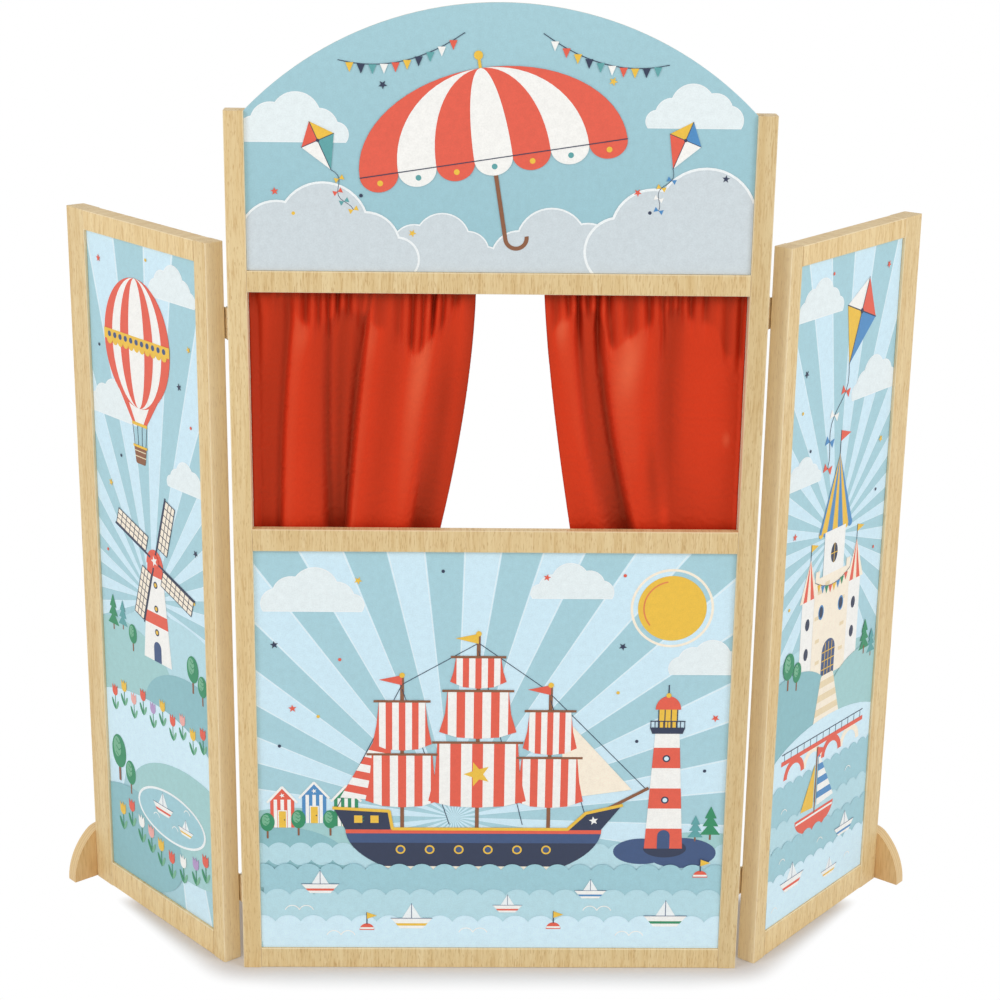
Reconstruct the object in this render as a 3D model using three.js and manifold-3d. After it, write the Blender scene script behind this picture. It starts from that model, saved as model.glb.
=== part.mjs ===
// Puppet theater stand: an arched centre frame with a stage opening and two curtains,
// and two side wings on hinges, each with a half-moon foot on its outer edge.
// Millimetres. X runs to the right seen from the front, Y to the back and Z up.
// The origin is the middle of the bottom rail's underside.

import * as THREE from 'three';
import { mergeVertices } from 'three/addons/utils/BufferGeometryUtils.js';
import Module from 'manifold-3d';

const wasm = await Module();
wasm.setup();

// Clearances
const fitGap = 0.3;
const overrun = 1;

// Centre frame
const frameWidth = 600;
const frameDepth = 24;
const stileFace = 22;
const stileHeight = 1037;
const arris = 1.5;

// Rails of the centre frame
const frontRailDepth = 12;
const headerRailBelowTop = 175;
const headerRailHeight = 24;
const stageRailTop = 562.5;
const stageRailHeight = 26.5;
const bottomRailHeight = 26;

// Panels, and the grooves that hold them
const panelThickness = 3;
const panelSetback = 4;
const panelBite = 6;
const archRise = 117;

// Stub tenons on the rails
const tenonLength = 12;
const tenonThickness = 6;
const tenonShoulder = 3;

// Curtain rod
const rodRadius = 4;
const rodBehindRail = 6;
const rodAboveRailBottom = 11;
const rodSocketDepth = 10;

// Curtains
const clothWall = 2.4;
const pocketWall = 1.15;
const pocketGap = 0.35;
const foldNearest = 0.6;
const foldReach = 16;
const foldRunIn = 70;
const hemOverlap = 22.5;
const leftCurtainWidth = 252;
const leftCurtainDraw = 43;
const leftDrawPower = 1.7;
const rightCurtainWidth = 227;
const rightCurtainDraw = 39;
const rightDrawPower = 1.35;
const foldColumns = 36;
const foldRows = 9;
const foldRowPower = 1.3;

// Wings
const wingWidth = 296;
const wingHeight = 890;
const wingDepth = 24;
const wingInnerFace = 24;
const wingOuterFace = 38;
const wingTopRailHeight = 24;
const wingBottomRailHeight = 34;
const wingRestAngle = 50;

// Feet
const footThickness = 16;
const footReach = 33;
const footHeight = 68.5;
const footCrownRadius = 25;
const footScrewLow = 18;
const footScrewHigh = 48;

// Hinges. They sit at slightly different heights on the two sides.
const hingeGap = 4;
const hingeHeight = 36;
const hingeLeafReach = 17;
const hingeLeafThickness = 1.5;
const hingeBarrelRadius = 3;
const hingePinRadius = 1.2;
const hingePinHeadRadius = 2.2;
const hingePinHeadHeight = 0.8;
const hingeKnuckles = 3;
const leftUpperHingeBelowTop = 93;
const leftLowerHingeHeight = 94;
const rightUpperHingeBelowTop = 76.5;
const rightLowerHingeHeight = 105.5;
const leafScrewInset = 10;
const leafScrewSpread = 22;

// Screws, with a countersunk head and a cross recess
const leafScrew = {
  headRadius: 2.8,
  shankRadius: 1.5,
  length: 14,
  pointLength: 3,
  recessSpan: 2.8,
  recessWidth: 0.7,
  recessDepth: 0.9,
};
const footScrew = {
  headRadius: 4,
  shankRadius: 2,
  length: 34,
  pointLength: 5,
  recessSpan: 4,
  recessWidth: 0.9,
  recessDepth: 1.4,
};

// Facets round each curve
const arrisSteps = 2;
const archSteps = 24;
const footSteps = 10;
const rodSides = 16;
const barrelSides = 16;
const pinSides = 12;
const screwSides = 12;

// Places worked out from the sizes above
const frameFront = -frameDepth / 2;
const frameBack = frameDepth / 2;
const openingHalf = frameWidth / 2 - stileFace;
const frontRailBack = frameFront + frontRailDepth;
const stageRailBottom = stageRailTop - stageRailHeight;
const headerRailTop = stileHeight - headerRailBelowTop;
const headerRailBottom = headerRailTop - headerRailHeight;
const rodY = frontRailBack + rodBehindRail;
const rodZ = headerRailBottom + rodAboveRailBottom;
const archRadius = (openingHalf ** 2 + archRise ** 2) / (2 * archRise);
const archCentreZ = stileHeight + archRise - archRadius;
const hingeX = frameWidth / 2 + hingeGap / 2;
const hingeY = frameBack + fitGap + hingeBarrelRadius;
const wingBack = -(hingeBarrelRadius + fitGap);
const wingFront = wingBack - wingDepth;
const wingMiddle = (wingFront + wingBack) / 2;
const wingInnerEdge = hingeGap / 2;
const wingOuterEdge = wingInnerEdge + wingWidth;
const wingOpeningInner = wingInnerEdge + wingInnerFace;
const wingOpeningOuter = wingOuterEdge - wingOuterFace;
const wingOpeningTop = wingHeight - wingTopRailHeight;
const footInner = wingOuterEdge + fitGap;
const footOuter = footInner + footThickness;

const wood = new THREE.MeshStandardMaterial({ color: 0xe2c793, roughness: 0.55 });
const footWood = new THREE.MeshStandardMaterial({ color: 0xd2ab72, roughness: 0.5 });
const panelPrint = new THREE.MeshStandardMaterial({ color: 0xa3cdd6, roughness: 0.45 });
const cloth = new THREE.MeshStandardMaterial({ color: 0xd8391f, roughness: 0.7 });
const bronze = new THREE.MeshStandardMaterial({ color: 0x9c8763, roughness: 0.4, metalness: 0.9 });
const steel = new THREE.MeshStandardMaterial({ color: 0xb9b4a8, roughness: 0.35, metalness: 0.9 });

// Solids and their cuts
function solidOf(geometry) {
  const bare = geometry.clone();
  bare.deleteAttribute('normal');
  bare.deleteAttribute('uv');
  const merged = mergeVertices(bare);
  return new wasm.Manifold(new wasm.Mesh({
    numProp: 3,
    vertProperties: new Float32Array(merged.attributes.position.array),
    triVerts: new Uint32Array(merged.index.array),
  }));
}

function geometryOf(solid) {
  const mesh = solid.getMesh();
  const geometry = new THREE.BufferGeometry();
  geometry.setAttribute('position', new THREE.BufferAttribute(mesh.vertProperties, 3));
  geometry.setIndex(new THREE.BufferAttribute(mesh.triVerts, 1));
  geometry.computeVertexNormals();
  return geometry;
}

function cutFrom(solid, tools) {
  return tools.reduce((rest, tool) => rest.subtract(solidOf(tool)), solid);
}

function joinTo(solid, additions) {
  return additions.reduce((sum, addition) => sum.add(solidOf(addition)), solid);
}

function addPiece(group, name, solid, material, position = [0, 0, 0]) {
  const mesh = new THREE.Mesh(geometryOf(solid), material);
  mesh.name = name;
  mesh.position.set(...position);
  group.add(mesh);
  return mesh;
}

function boxBetween(low, high) {
  const size = high.map((value, i) => value - low[i]);
  const middle = high.map((value, i) => (value + low[i]) / 2);
  return new THREE.BoxGeometry(...size).translate(...middle);
}

// A box given from the inner side of a piece: inward is +1 or -1 along X
function boxTowards(inward, low, high) {
  const ends = [low[0] * inward, high[0] * inward];
  return boxBetween(
    [Math.min(...ends), low[1], low[2]],
    [Math.max(...ends), high[1], high[2]],
  );
}

// An upright board with its foot at zero and its four long edges rounded
function board(width, depth, length) {
  const x = width / 2 - arris;
  const y = depth / 2 - arris;
  const section = new THREE.Shape();
  section.absarc(x, y, arris, 0, Math.PI / 2);
  section.absarc(-x, y, arris, Math.PI / 2, Math.PI);
  section.absarc(-x, -y, arris, Math.PI, 1.5 * Math.PI);
  section.absarc(x, -y, arris, 1.5 * Math.PI, 2 * Math.PI);
  return new THREE.ExtrudeGeometry(section, {
    depth: length,
    bevelEnabled: false,
    curveSegments: arrisSteps,
  });
}

// The room that a panel takes across its thickness, in its groove
function grooveRoom(front) {
  return [front + panelSetback - fitGap, front + panelSetback + panelThickness + fitGap];
}

// A stile, with a groove for each panel and a mortise for each rail.
// Its inner face, the one with the grooves, looks along inward.
function stile({ face, depth, height, inward, grooves, mortises }) {
  const inner = face / 2;
  const [grooveFront, grooveBack] = grooveRoom(-depth / 2);
  const cuts = grooves.map(([bottom, top]) => boxTowards(
    inward,
    [inner - panelBite - fitGap, grooveFront, bottom],
    [inner + overrun, grooveBack, top],
  ));
  for (const { bottom, top, middle } of mortises) {
    cuts.push(boxTowards(
      inward,
      [inner - tenonLength - fitGap, middle - tenonThickness / 2 - fitGap, bottom - fitGap],
      [inner + overrun, middle + tenonThickness / 2 + fitGap, top + fitGap],
    ));
  }
  return cutFrom(solidOf(board(face, depth, height)), cuts);
}

// The heights of a tenon on a rail: it keeps clear of a groove above or below it
function tenonHeights(bottom, height, groovedBelow, groovedAbove) {
  const groove = panelBite + fitGap;
  return {
    bottom: bottom + tenonShoulder + (groovedBelow ? groove : 0),
    top: bottom + height - tenonShoulder - (groovedAbove ? groove : 0),
  };
}

// A rail along X, centred on its length and depth, with its underside at zero
function rail({ length, depth, height, groovedBelow, groovedAbove, front }) {
  const bar = board(height, depth, length);
  bar.rotateY(Math.PI / 2);
  bar.translate(-length / 2, 0, height / 2);
  const heights = tenonHeights(0, height, groovedBelow, groovedAbove);
  const tenons = [-1, 1].map((end) => boxTowards(
    end,
    [length / 2 - overrun, -tenonThickness / 2, heights.bottom],
    [length / 2 + tenonLength, tenonThickness / 2, heights.top],
  ));
  const [grooveFront, grooveBack] = grooveRoom(front);
  const half = length / 2 + overrun;
  const deep = panelBite + fitGap;
  const cuts = [];
  if (groovedBelow) {
    cuts.push(boxBetween([-half, grooveFront, -overrun], [half, grooveBack, deep]));
  }
  if (groovedAbove) {
    cuts.push(boxBetween([-half, grooveFront, height - deep], [half, grooveBack, height + overrun]));
  }
  return joinTo(cutFrom(solidOf(bar), cuts), tenons);
}

// Screws
function screwProfile(screw, gap, above) {
  const neck = screw.headRadius - screw.shankRadius;
  const profile = [
    new THREE.Vector2(0, -screw.length - gap),
    new THREE.Vector2(screw.shankRadius + gap, -screw.length + screw.pointLength - gap),
    new THREE.Vector2(screw.shankRadius + gap, -neck),
    new THREE.Vector2(screw.headRadius + gap, 0),
  ];
  if (above > 0) {
    profile.push(new THREE.Vector2(screw.headRadius + gap, above));
  }
  profile.push(new THREE.Vector2(0, above));
  return new THREE.LatheGeometry(profile, screwSides).rotateX(Math.PI / 2);
}

function screwSolid(screw) {
  const span = screw.recessSpan / 2;
  const width = screw.recessWidth / 2;
  return cutFrom(solidOf(screwProfile(screw, 0, 0)), [
    boxBetween([-span, -width, -screw.recessDepth], [span, width, overrun]),
    boxBetween([-width, -span, -screw.recessDepth], [width, span, overrun]),
  ]);
}

// The room that a screw needs in the pieces it passes through
function screwRoom(screw) {
  return screwProfile(screw, fitGap, overrun);
}

// Hinges. A leaf lies in front of the barrel's axis, against the wood, and reaches along reach.
const knuckleHeight = (hingeHeight - (hingeKnuckles - 1) * fitGap) / hingeKnuckles;
const knucklePitch = knuckleHeight + fitGap;

function barrelStretch(radius, height, sides, index) {
  const z = (index - (hingeKnuckles - 1) / 2) * knucklePitch;
  return new THREE.CylinderGeometry(radius, radius, height, sides)
    .rotateX(Math.PI / 2)
    .translate(0, 0, z);
}

function leafScrewPlaces(reach) {
  return [-1, 1].map((end) => [
    reach * leafScrewInset,
    hingeLeafThickness - hingeBarrelRadius,
    end * leafScrewSpread / 2,
  ]);
}

function hingeLeaf(reach, ownKnuckles) {
  const plate = boxTowards(
    reach,
    [0, -hingeBarrelRadius, -hingeHeight / 2],
    [hingeLeafReach, hingeLeafThickness - hingeBarrelRadius, hingeHeight / 2],
  );
  const indices = Array.from({ length: hingeKnuckles }, (_, i) => i);
  const others = indices.filter((i) => !ownKnuckles.includes(i));
  const cleared = others.map((i) => barrelStretch(
    hingeBarrelRadius + fitGap,
    knuckleHeight + 2 * fitGap,
    barrelSides,
    i,
  ));
  const knuckles = ownKnuckles.map((i) => barrelStretch(
    hingeBarrelRadius,
    knuckleHeight,
    barrelSides,
    i,
  ));
  const bore = new THREE.CylinderGeometry(
    hingePinRadius + fitGap,
    hingePinRadius + fitGap,
    hingeHeight + 2 * overrun,
    pinSides,
  ).rotateX(Math.PI / 2);
  const screwHoles = leafScrewPlaces(reach).map((place) => screwRoom(leafScrew)
    .rotateX(-Math.PI / 2)
    .translate(...place));
  const body = joinTo(cutFrom(solidOf(plate), cleared), knuckles);
  return cutFrom(body, [bore, ...screwHoles]);
}

function hingePin() {
  const half = hingeHeight / 2 + fitGap;
  const top = half + hingePinHeadHeight;
  const profile = [
    new THREE.Vector2(0, -top),
    new THREE.Vector2(hingePinHeadRadius, -top),
    new THREE.Vector2(hingePinHeadRadius, -half),
    new THREE.Vector2(hingePinRadius, -half),
    new THREE.Vector2(hingePinRadius, half),
    new THREE.Vector2(hingePinHeadRadius, half),
    new THREE.Vector2(hingePinHeadRadius, top),
    new THREE.Vector2(0, top),
  ];
  return solidOf(new THREE.LatheGeometry(profile, pinSides).rotateX(Math.PI / 2));
}

const hinges = {
  left: [
    { level: 'upper', height: wingHeight - leftUpperHingeBelowTop },
    { level: 'lower', height: leftLowerHingeHeight },
  ],
  right: [
    { level: 'upper', height: wingHeight - rightUpperHingeBelowTop },
    { level: 'lower', height: rightLowerHingeHeight },
  ],
};

// One leaf with its screws. The group's own zero is on the hinge axis in X and Y.
function addLeaf(group, prefix, axis, height, reach, ownKnuckles) {
  addPiece(group, `${prefix}_leaf`, hingeLeaf(reach, ownKnuckles), bronze, [...axis, height]);
  leafScrewPlaces(reach).forEach(([x, y, z], i) => {
    const end = i === 0 ? 'lower' : 'upper';
    const place = [axis[0] + x, axis[1] + y, height + z];
    const mesh = addPiece(group, `${prefix}_${end}_screw`, screwSolid(leafScrew), steel, place);
    mesh.rotation.x = -Math.PI / 2;
  });
}

// Screw holes for the leaves on one side, in the frame of the wood whose middle is at woodX
function leafScrewHoles(name, axis, reach, woodX) {
  const places = hinges[name].flatMap(({ height }) => leafScrewPlaces(reach)
    .map(([x, y, z]) => [axis[0] + x - woodX, axis[1] + y, height + z]));
  return places.map((place) => screwRoom(leafScrew)
    .rotateX(-Math.PI / 2)
    .translate(...place));
}

// Centre frame
const frontRailMiddle = frameFront + frontRailDepth / 2;
const headerTenon = tenonHeights(headerRailBottom, headerRailHeight, false, true);
const stageTenon = tenonHeights(stageRailBottom, stageRailHeight, true, false);
const bottomTenon = tenonHeights(0, bottomRailHeight, false, true);

function frameStile(side, name) {
  const inward = -side;
  const woodX = side * (frameWidth - stileFace) / 2;
  const plain = stile({
    face: stileFace,
    depth: frameDepth,
    height: stileHeight,
    inward,
    grooves: [
      [bottomRailHeight - panelBite - fitGap, stageRailBottom + panelBite + fitGap],
      [headerRailTop - panelBite - fitGap, stileHeight + overrun],
    ],
    mortises: [
      { ...headerTenon, middle: frontRailMiddle },
      { ...stageTenon, middle: frontRailMiddle },
      { ...bottomTenon, middle: 0 },
    ],
  });
  const socket = new THREE.CylinderGeometry(
    rodRadius + fitGap,
    rodRadius + fitGap,
    rodSocketDepth + overrun,
    rodSides,
  ).rotateZ(Math.PI / 2);
  const socketMiddle = inward * (stileFace / 2 - (rodSocketDepth - overrun) / 2);
  socket.translate(socketMiddle, rodY, rodZ);
  const holes = leafScrewHoles(name, [side * hingeX, hingeY], inward, woodX);
  return cutFrom(plain, [socket, ...holes]);
}

function frameRail(depth, height, groovedBelow, groovedAbove) {
  return rail({
    length: 2 * openingHalf,
    depth,
    height,
    groovedBelow,
    groovedAbove,
    front: -depth / 2,
  });
}

// The arched panel, from the header rail's groove to the arc over the stiles' tops
function headerPanel() {
  const half = openingHalf + panelBite;
  const start = Math.acos(half / archRadius);
  const bottom = headerRailTop - panelBite;
  const outline = new THREE.Shape();
  outline.moveTo(-half, bottom);
  outline.lineTo(half, bottom);
  outline.absarc(0, archCentreZ, archRadius, start, Math.PI - start);
  outline.closePath();
  const sheet = new THREE.ExtrudeGeometry(outline, {
    depth: panelThickness,
    bevelEnabled: false,
    curveSegments: archSteps,
  });
  return solidOf(sheet.rotateX(Math.PI / 2).translate(0, panelThickness, 0));
}

function flatPanel(width, height) {
  return solidOf(boxBetween([-width / 2, 0, 0], [width / 2, panelThickness, height]));
}

function curtainRod() {
  const length = 2 * (openingHalf + rodSocketDepth - fitGap);
  return solidOf(new THREE.CylinderGeometry(rodRadius, rodRadius, length, rodSides)
    .rotateZ(Math.PI / 2));
}

function buildCentreFrame() {
  const frame = new THREE.Group();
  const stileX = (frameWidth - stileFace) / 2;
  const panelY = frameFront + panelSetback;
  addPiece(frame, 'left_stile', frameStile(-1, 'left'), wood, [-stileX, 0, 0]);
  addPiece(frame, 'right_stile', frameStile(1, 'right'), wood, [stileX, 0, 0]);
  addPiece(
    frame,
    'header_rail',
    frameRail(frontRailDepth, headerRailHeight, false, true),
    wood,
    [0, frontRailMiddle, headerRailBottom],
  );
  addPiece(
    frame,
    'stage_rail',
    frameRail(frontRailDepth, stageRailHeight, true, false),
    wood,
    [0, frontRailMiddle, stageRailBottom],
  );
  addPiece(frame, 'bottom_rail', frameRail(frameDepth, bottomRailHeight, false, true), wood);
  addPiece(frame, 'header_panel', headerPanel(), panelPrint, [0, panelY, 0]);
  addPiece(
    frame,
    'lower_panel',
    flatPanel(
      2 * (openingHalf + panelBite),
      stageRailBottom - bottomRailHeight + 2 * panelBite,
    ),
    panelPrint,
    [0, panelY, bottomRailHeight - panelBite],
  );
  addPiece(frame, 'curtain_rod', curtainRod(), wood, [0, rodY, rodZ]);
  for (const [side, name] of [[-1, 'left'], [1, 'right']]) {
    for (const { level, height } of hinges[name]) {
      const prefix = `${name}_${level}_hinge`;
      const axis = [side * hingeX, hingeY];
      addLeaf(frame, `${prefix}_frame`, axis, height, -side, [0, hingeKnuckles - 1]);
      addPiece(frame, `${prefix}_pin`, hingePin(), steel, [...axis, height]);
    }
  }
  return frame;
}

// Curtains. Each fold line runs from a place on the pocket to a place on the hem, as shares of
// the curtain's width from its outer edge, and stands forward by a share of the fold's reach.
const leftFoldShares = [
  { top: 0, hem: 0, forward: 0.15 },
  { top: 0.08, hem: 0.06, forward: 0.45 },
  { top: 0.17, hem: 0.12, forward: 0.1 },
  { top: 0.27, hem: 0.22, forward: 1 },
  { top: 0.39, hem: 0.42, forward: 0 },
  { top: 0.56, hem: 0.54, forward: 1 },
  { top: 0.68, hem: 0.72, forward: 0.6 },
  { top: 0.8, hem: 0.89, forward: 0 },
  { top: 1, hem: 1, forward: 0.85 },
];
const rightFoldShares = [
  { top: 0, hem: 0, forward: 0.3 },
  { top: 0.08, hem: 0.1, forward: 0.05 },
  { top: 0.2, hem: 0.28, forward: 0.8 },
  { top: 0.38, hem: 0.45, forward: 0.1 },
  { top: 0.55, hem: 0.57, forward: 1 },
  { top: 0.7, hem: 0.68, forward: 0 },
  { top: 0.88, hem: 0.86, forward: 1 },
  { top: 1, hem: 1, forward: 0.35 },
];

function foldForward(folds, across, down) {
  const places = folds.map(({ top, hem }) => THREE.MathUtils.lerp(top, hem, down));
  const last = folds.length - 2;
  const after = places.findIndex((place, i) => i > 0 && across <= place);
  const i = after > 0 ? after - 1 : last;
  const share = THREE.MathUtils.clamp((across - places[i]) / (places[i + 1] - places[i]), 0, 1);
  const eased = (1 - Math.cos(Math.PI * share)) / 2;
  return THREE.MathUtils.lerp(folds[i].forward, folds[i + 1].forward, eased);
}

// The heights of a curtain's rows about the rod, and half its thickness at each:
// round the rod it is a pocket, and below that a single hanging wall
function curtainRows(drop) {
  const radius = rodRadius + pocketGap + pocketWall;
  const crown = Math.acos(clothWall / (2 * radius));
  const rows = [crown, Math.PI / 4, 0, -Math.PI / 4, -crown].map((angle) => ({
    z: radius * Math.sin(angle),
    half: radius * Math.cos(angle),
  }));
  const start = radius * Math.sin(crown);
  for (let row = 1; row <= foldRows; row += 1) {
    const share = (row / foldRows) ** foldRowPower;
    rows.push({ z: -start - share * (drop - start), half: clothWall / 2 });
  }
  return rows;
}

// A curtain about its own zero: its outer edge in X and the rod's middle in Y and Z
function curtain({ inward, width, draw, drawPower, folds }) {
  const drop = rodZ - (stageRailTop - hemOverlap);
  const rows = curtainRows(drop);
  const nearest = frontRailBack + foldNearest + clothWall / 2 - rodY;
  const farthest = nearest + foldReach - clothWall;
  const shares = Array.from({ length: foldColumns + 1 }, (_, i) => i / foldColumns);
  const columns = inward > 0 ? shares : shares.reverse();
  const front = [];
  const back = [];
  for (const { z, half } of rows) {
    const down = THREE.MathUtils.clamp(-z / drop, 0, 1);
    const loose = THREE.MathUtils.smoothstep(-z, 0, foldRunIn);
    const reach = width - draw * down ** drawPower;
    for (const across of columns) {
      const hang = THREE.MathUtils.lerp(farthest, nearest, foldForward(folds, across, down));
      const y = hang * loose;
      front.push(inward * across * reach, y - half, z);
      back.push(inward * across * reach, y + half, z);
    }
  }
  return solidOf(sheetGeometry(front, back, columns.length, rows.length));
}

// A closed sheet between two grids of points, given row by row from the top
function sheetGeometry(front, back, columns, rows) {
  const offset = columns * rows;
  const at = (column, row) => row * columns + column;
  const index = [];
  for (let row = 0; row < rows - 1; row += 1) {
    for (let column = 0; column < columns - 1; column += 1) {
      const a = at(column, row);
      const b = at(column, row + 1);
      const c = at(column + 1, row + 1);
      const d = at(column + 1, row);
      index.push(a, b, c, a, c, d);
      index.push(a + offset, c + offset, b + offset, a + offset, d + offset, c + offset);
    }
  }
  const lastColumn = columns - 1;
  const lastRow = rows - 1;
  const downwards = Array.from({ length: lastRow }, (_, i) => i);
  const across = Array.from({ length: lastColumn }, (_, i) => i);
  const rim = [
    ...downwards.map((row) => at(0, row)),
    ...across.map((column) => at(column, lastRow)),
    ...downwards.map((row) => at(lastColumn, lastRow - row)),
    ...across.map((column) => at(lastColumn - column, 0)),
  ];
  rim.forEach((p, i) => {
    const q = rim[(i + 1) % rim.length];
    index.push(p, p + offset, q + offset, p, q + offset, q);
  });
  const geometry = new THREE.BufferGeometry();
  geometry.setAttribute('position', new THREE.Float32BufferAttribute([...front, ...back], 3));
  geometry.setIndex(index);
  return geometry;
}

function addCurtain(group, name, side, sizes) {
  const pocket = new THREE.CylinderGeometry(
    rodRadius + pocketGap,
    rodRadius + pocketGap,
    2 * frameWidth,
    rodSides,
  ).rotateZ(Math.PI / 2);
  const solid = cutFrom(curtain({ inward: -side, ...sizes }), [pocket]);
  addPiece(group, name, solid, cloth, [side * (openingHalf - fitGap), rodY, rodZ]);
}

function buildCurtains() {
  const pair = new THREE.Group();
  addCurtain(pair, 'left_curtain', -1, {
    width: leftCurtainWidth,
    draw: leftCurtainDraw,
    drawPower: leftDrawPower,
    folds: leftFoldShares,
  });
  addCurtain(pair, 'right_curtain', 1, {
    width: rightCurtainWidth,
    draw: rightCurtainDraw,
    drawPower: rightDrawPower,
    folds: rightFoldShares,
  });
  return pair;
}

// Wings. X runs out from the hinge axis, to the left on the left wing, and Y is as in the frame.
const wingTopTenon = tenonHeights(wingOpeningTop, wingTopRailHeight, true, false);
const wingBottomTenon = tenonHeights(0, wingBottomRailHeight, false, true);

function wingStile(face, inward, screwHoles) {
  const plain = stile({
    face,
    depth: wingDepth,
    height: wingHeight,
    inward,
    grooves: [[
      wingBottomRailHeight - panelBite - fitGap,
      wingOpeningTop + panelBite + fitGap,
    ]],
    mortises: [
      { ...wingTopTenon, middle: 0 },
      { ...wingBottomTenon, middle: 0 },
    ],
  });
  return cutFrom(plain, screwHoles);
}

function wingRail(height, groovedBelow, groovedAbove) {
  return rail({
    length: wingOpeningOuter - wingOpeningInner - 2 * fitGap,
    depth: wingDepth,
    height,
    groovedBelow,
    groovedAbove,
    front: -wingDepth / 2,
  });
}

// A half-moon board: two wide arcs from the floor, met by a tighter crown at the top
function footOutline() {
  const half = wingDepth / 2 + footReach;
  const rise = footHeight - footCrownRadius;
  const inset = half - footCrownRadius;
  const centre = (rise ** 2 - inset ** 2) / (2 * inset);
  const meet = Math.atan2(rise, centre);
  const outline = new THREE.Shape();
  outline.moveTo(-half, 0);
  outline.lineTo(half, 0);
  outline.absarc(-centre, 0, half + centre, 0, meet);
  outline.absarc(0, rise, footCrownRadius, meet, Math.PI - meet);
  outline.absarc(centre, 0, half + centre, Math.PI - meet, Math.PI);
  return outline;
}

function footScrewRooms(side, outerFace) {
  return [footScrewLow, footScrewHigh].map((z) => screwRoom(footScrew)
    .rotateY(side * Math.PI / 2)
    .translate(side * outerFace, 0, z));
}

// The foot about its own zero: its inner face in X, the wing's middle in Y and the floor in Z
function foot(side) {
  const sheet = new THREE.ExtrudeGeometry(footOutline(), {
    depth: footThickness,
    bevelEnabled: false,
    curveSegments: footSteps,
  });
  sheet.rotateX(Math.PI / 2);
  sheet.rotateZ(Math.PI / 2);
  sheet.translate(side < 0 ? -footThickness : 0, 0, 0);
  return cutFrom(solidOf(sheet), footScrewRooms(side, footThickness));
}

function addFoot(wing, name, side) {
  addPiece(wing, `${name}_foot`, foot(side), footWood, [side * footInner, wingMiddle, 0]);
  [['lower', footScrewLow], ['upper', footScrewHigh]].forEach(([end, z]) => {
    const place = [side * footOuter, wingMiddle, z];
    const mesh = addPiece(wing, `${name}_foot_${end}_screw`, screwSolid(footScrew), steel, place);
    mesh.rotation.y = side * Math.PI / 2;
  });
}

function buildWing(side, name) {
  const wing = new THREE.Group();
  wing.position.set(side * hingeX, hingeY, 0);
  wing.rotation.z = side * THREE.MathUtils.degToRad(wingRestAngle);
  const innerX = side * (wingInnerEdge + wingInnerFace / 2);
  const outerX = side * (wingOuterEdge - wingOuterFace / 2);
  const openingX = side * (wingOpeningInner + wingOpeningOuter) / 2;
  const leafHoles = leafScrewHoles(name, [0, 0], side, innerX)
    .map((hole) => hole.translate(0, -wingMiddle, 0));
  const footHoles = footScrewRooms(side, footOuter - (wingOuterEdge - wingOuterFace / 2));
  const stileAt = (x) => [x, wingMiddle, 0];
  addPiece(
    wing,
    `${name}_wing_inner_stile`,
    wingStile(wingInnerFace, side, leafHoles),
    wood,
    stileAt(innerX),
  );
  addPiece(
    wing,
    `${name}_wing_outer_stile`,
    wingStile(wingOuterFace, -side, footHoles),
    wood,
    stileAt(outerX),
  );
  addPiece(
    wing,
    `${name}_wing_top_rail`,
    wingRail(wingTopRailHeight, true, false),
    wood,
    [openingX, wingMiddle, wingOpeningTop],
  );
  addPiece(
    wing,
    `${name}_wing_bottom_rail`,
    wingRail(wingBottomRailHeight, false, true),
    wood,
    [openingX, wingMiddle, 0],
  );
  addPiece(
    wing,
    `${name}_wing_panel`,
    flatPanel(
      wingOpeningOuter - wingOpeningInner + 2 * panelBite,
      wingOpeningTop - wingBottomRailHeight + 2 * panelBite,
    ),
    panelPrint,
    [openingX, wingFront + panelSetback, wingBottomRailHeight - panelBite],
  );
  addFoot(wing, name, side);
  const middle = Array.from({ length: hingeKnuckles - 2 }, (_, i) => i + 1);
  for (const { level, height } of hinges[name]) {
    addLeaf(wing, `${name}_${level}_hinge_wing`, [0, 0], height, side, middle);
  }
  return wing;
}

const group = new THREE.Group();
group.add(buildCentreFrame());
group.add(buildCurtains());
group.add(buildWing(-1, 'left'));
group.add(buildWing(1, 'right'));

export default group;
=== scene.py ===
import math
from functools import partial

import bmesh
import bpy
from mathutils import Matrix, Vector


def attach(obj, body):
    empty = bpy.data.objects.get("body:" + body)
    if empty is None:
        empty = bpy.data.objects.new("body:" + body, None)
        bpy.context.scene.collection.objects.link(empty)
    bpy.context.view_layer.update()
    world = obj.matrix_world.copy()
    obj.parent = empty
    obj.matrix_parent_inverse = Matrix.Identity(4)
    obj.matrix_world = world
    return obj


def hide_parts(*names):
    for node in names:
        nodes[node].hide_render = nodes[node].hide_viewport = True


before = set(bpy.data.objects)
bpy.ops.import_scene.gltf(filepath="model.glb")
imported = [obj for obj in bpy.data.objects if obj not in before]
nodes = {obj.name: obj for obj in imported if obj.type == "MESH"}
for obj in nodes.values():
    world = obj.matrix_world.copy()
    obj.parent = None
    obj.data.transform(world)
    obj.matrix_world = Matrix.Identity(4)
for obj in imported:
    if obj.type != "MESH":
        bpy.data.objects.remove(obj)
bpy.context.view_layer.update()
mm = 0.001
print("frame loaded:", len(nodes), "nodes")


# Camera, light and floor. The camera was measured on the photograph's square frame, 1000 pixels a side
shot = {
    "place": (-51.136, -2390.891, 1361.586),
    "down": 17.751,
    "turn": -1.331,
    "roll": -0.8,
    "focalPixels": 2195.347,
    "framePixels": 1000,
    "sensor": 36,
}

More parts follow.
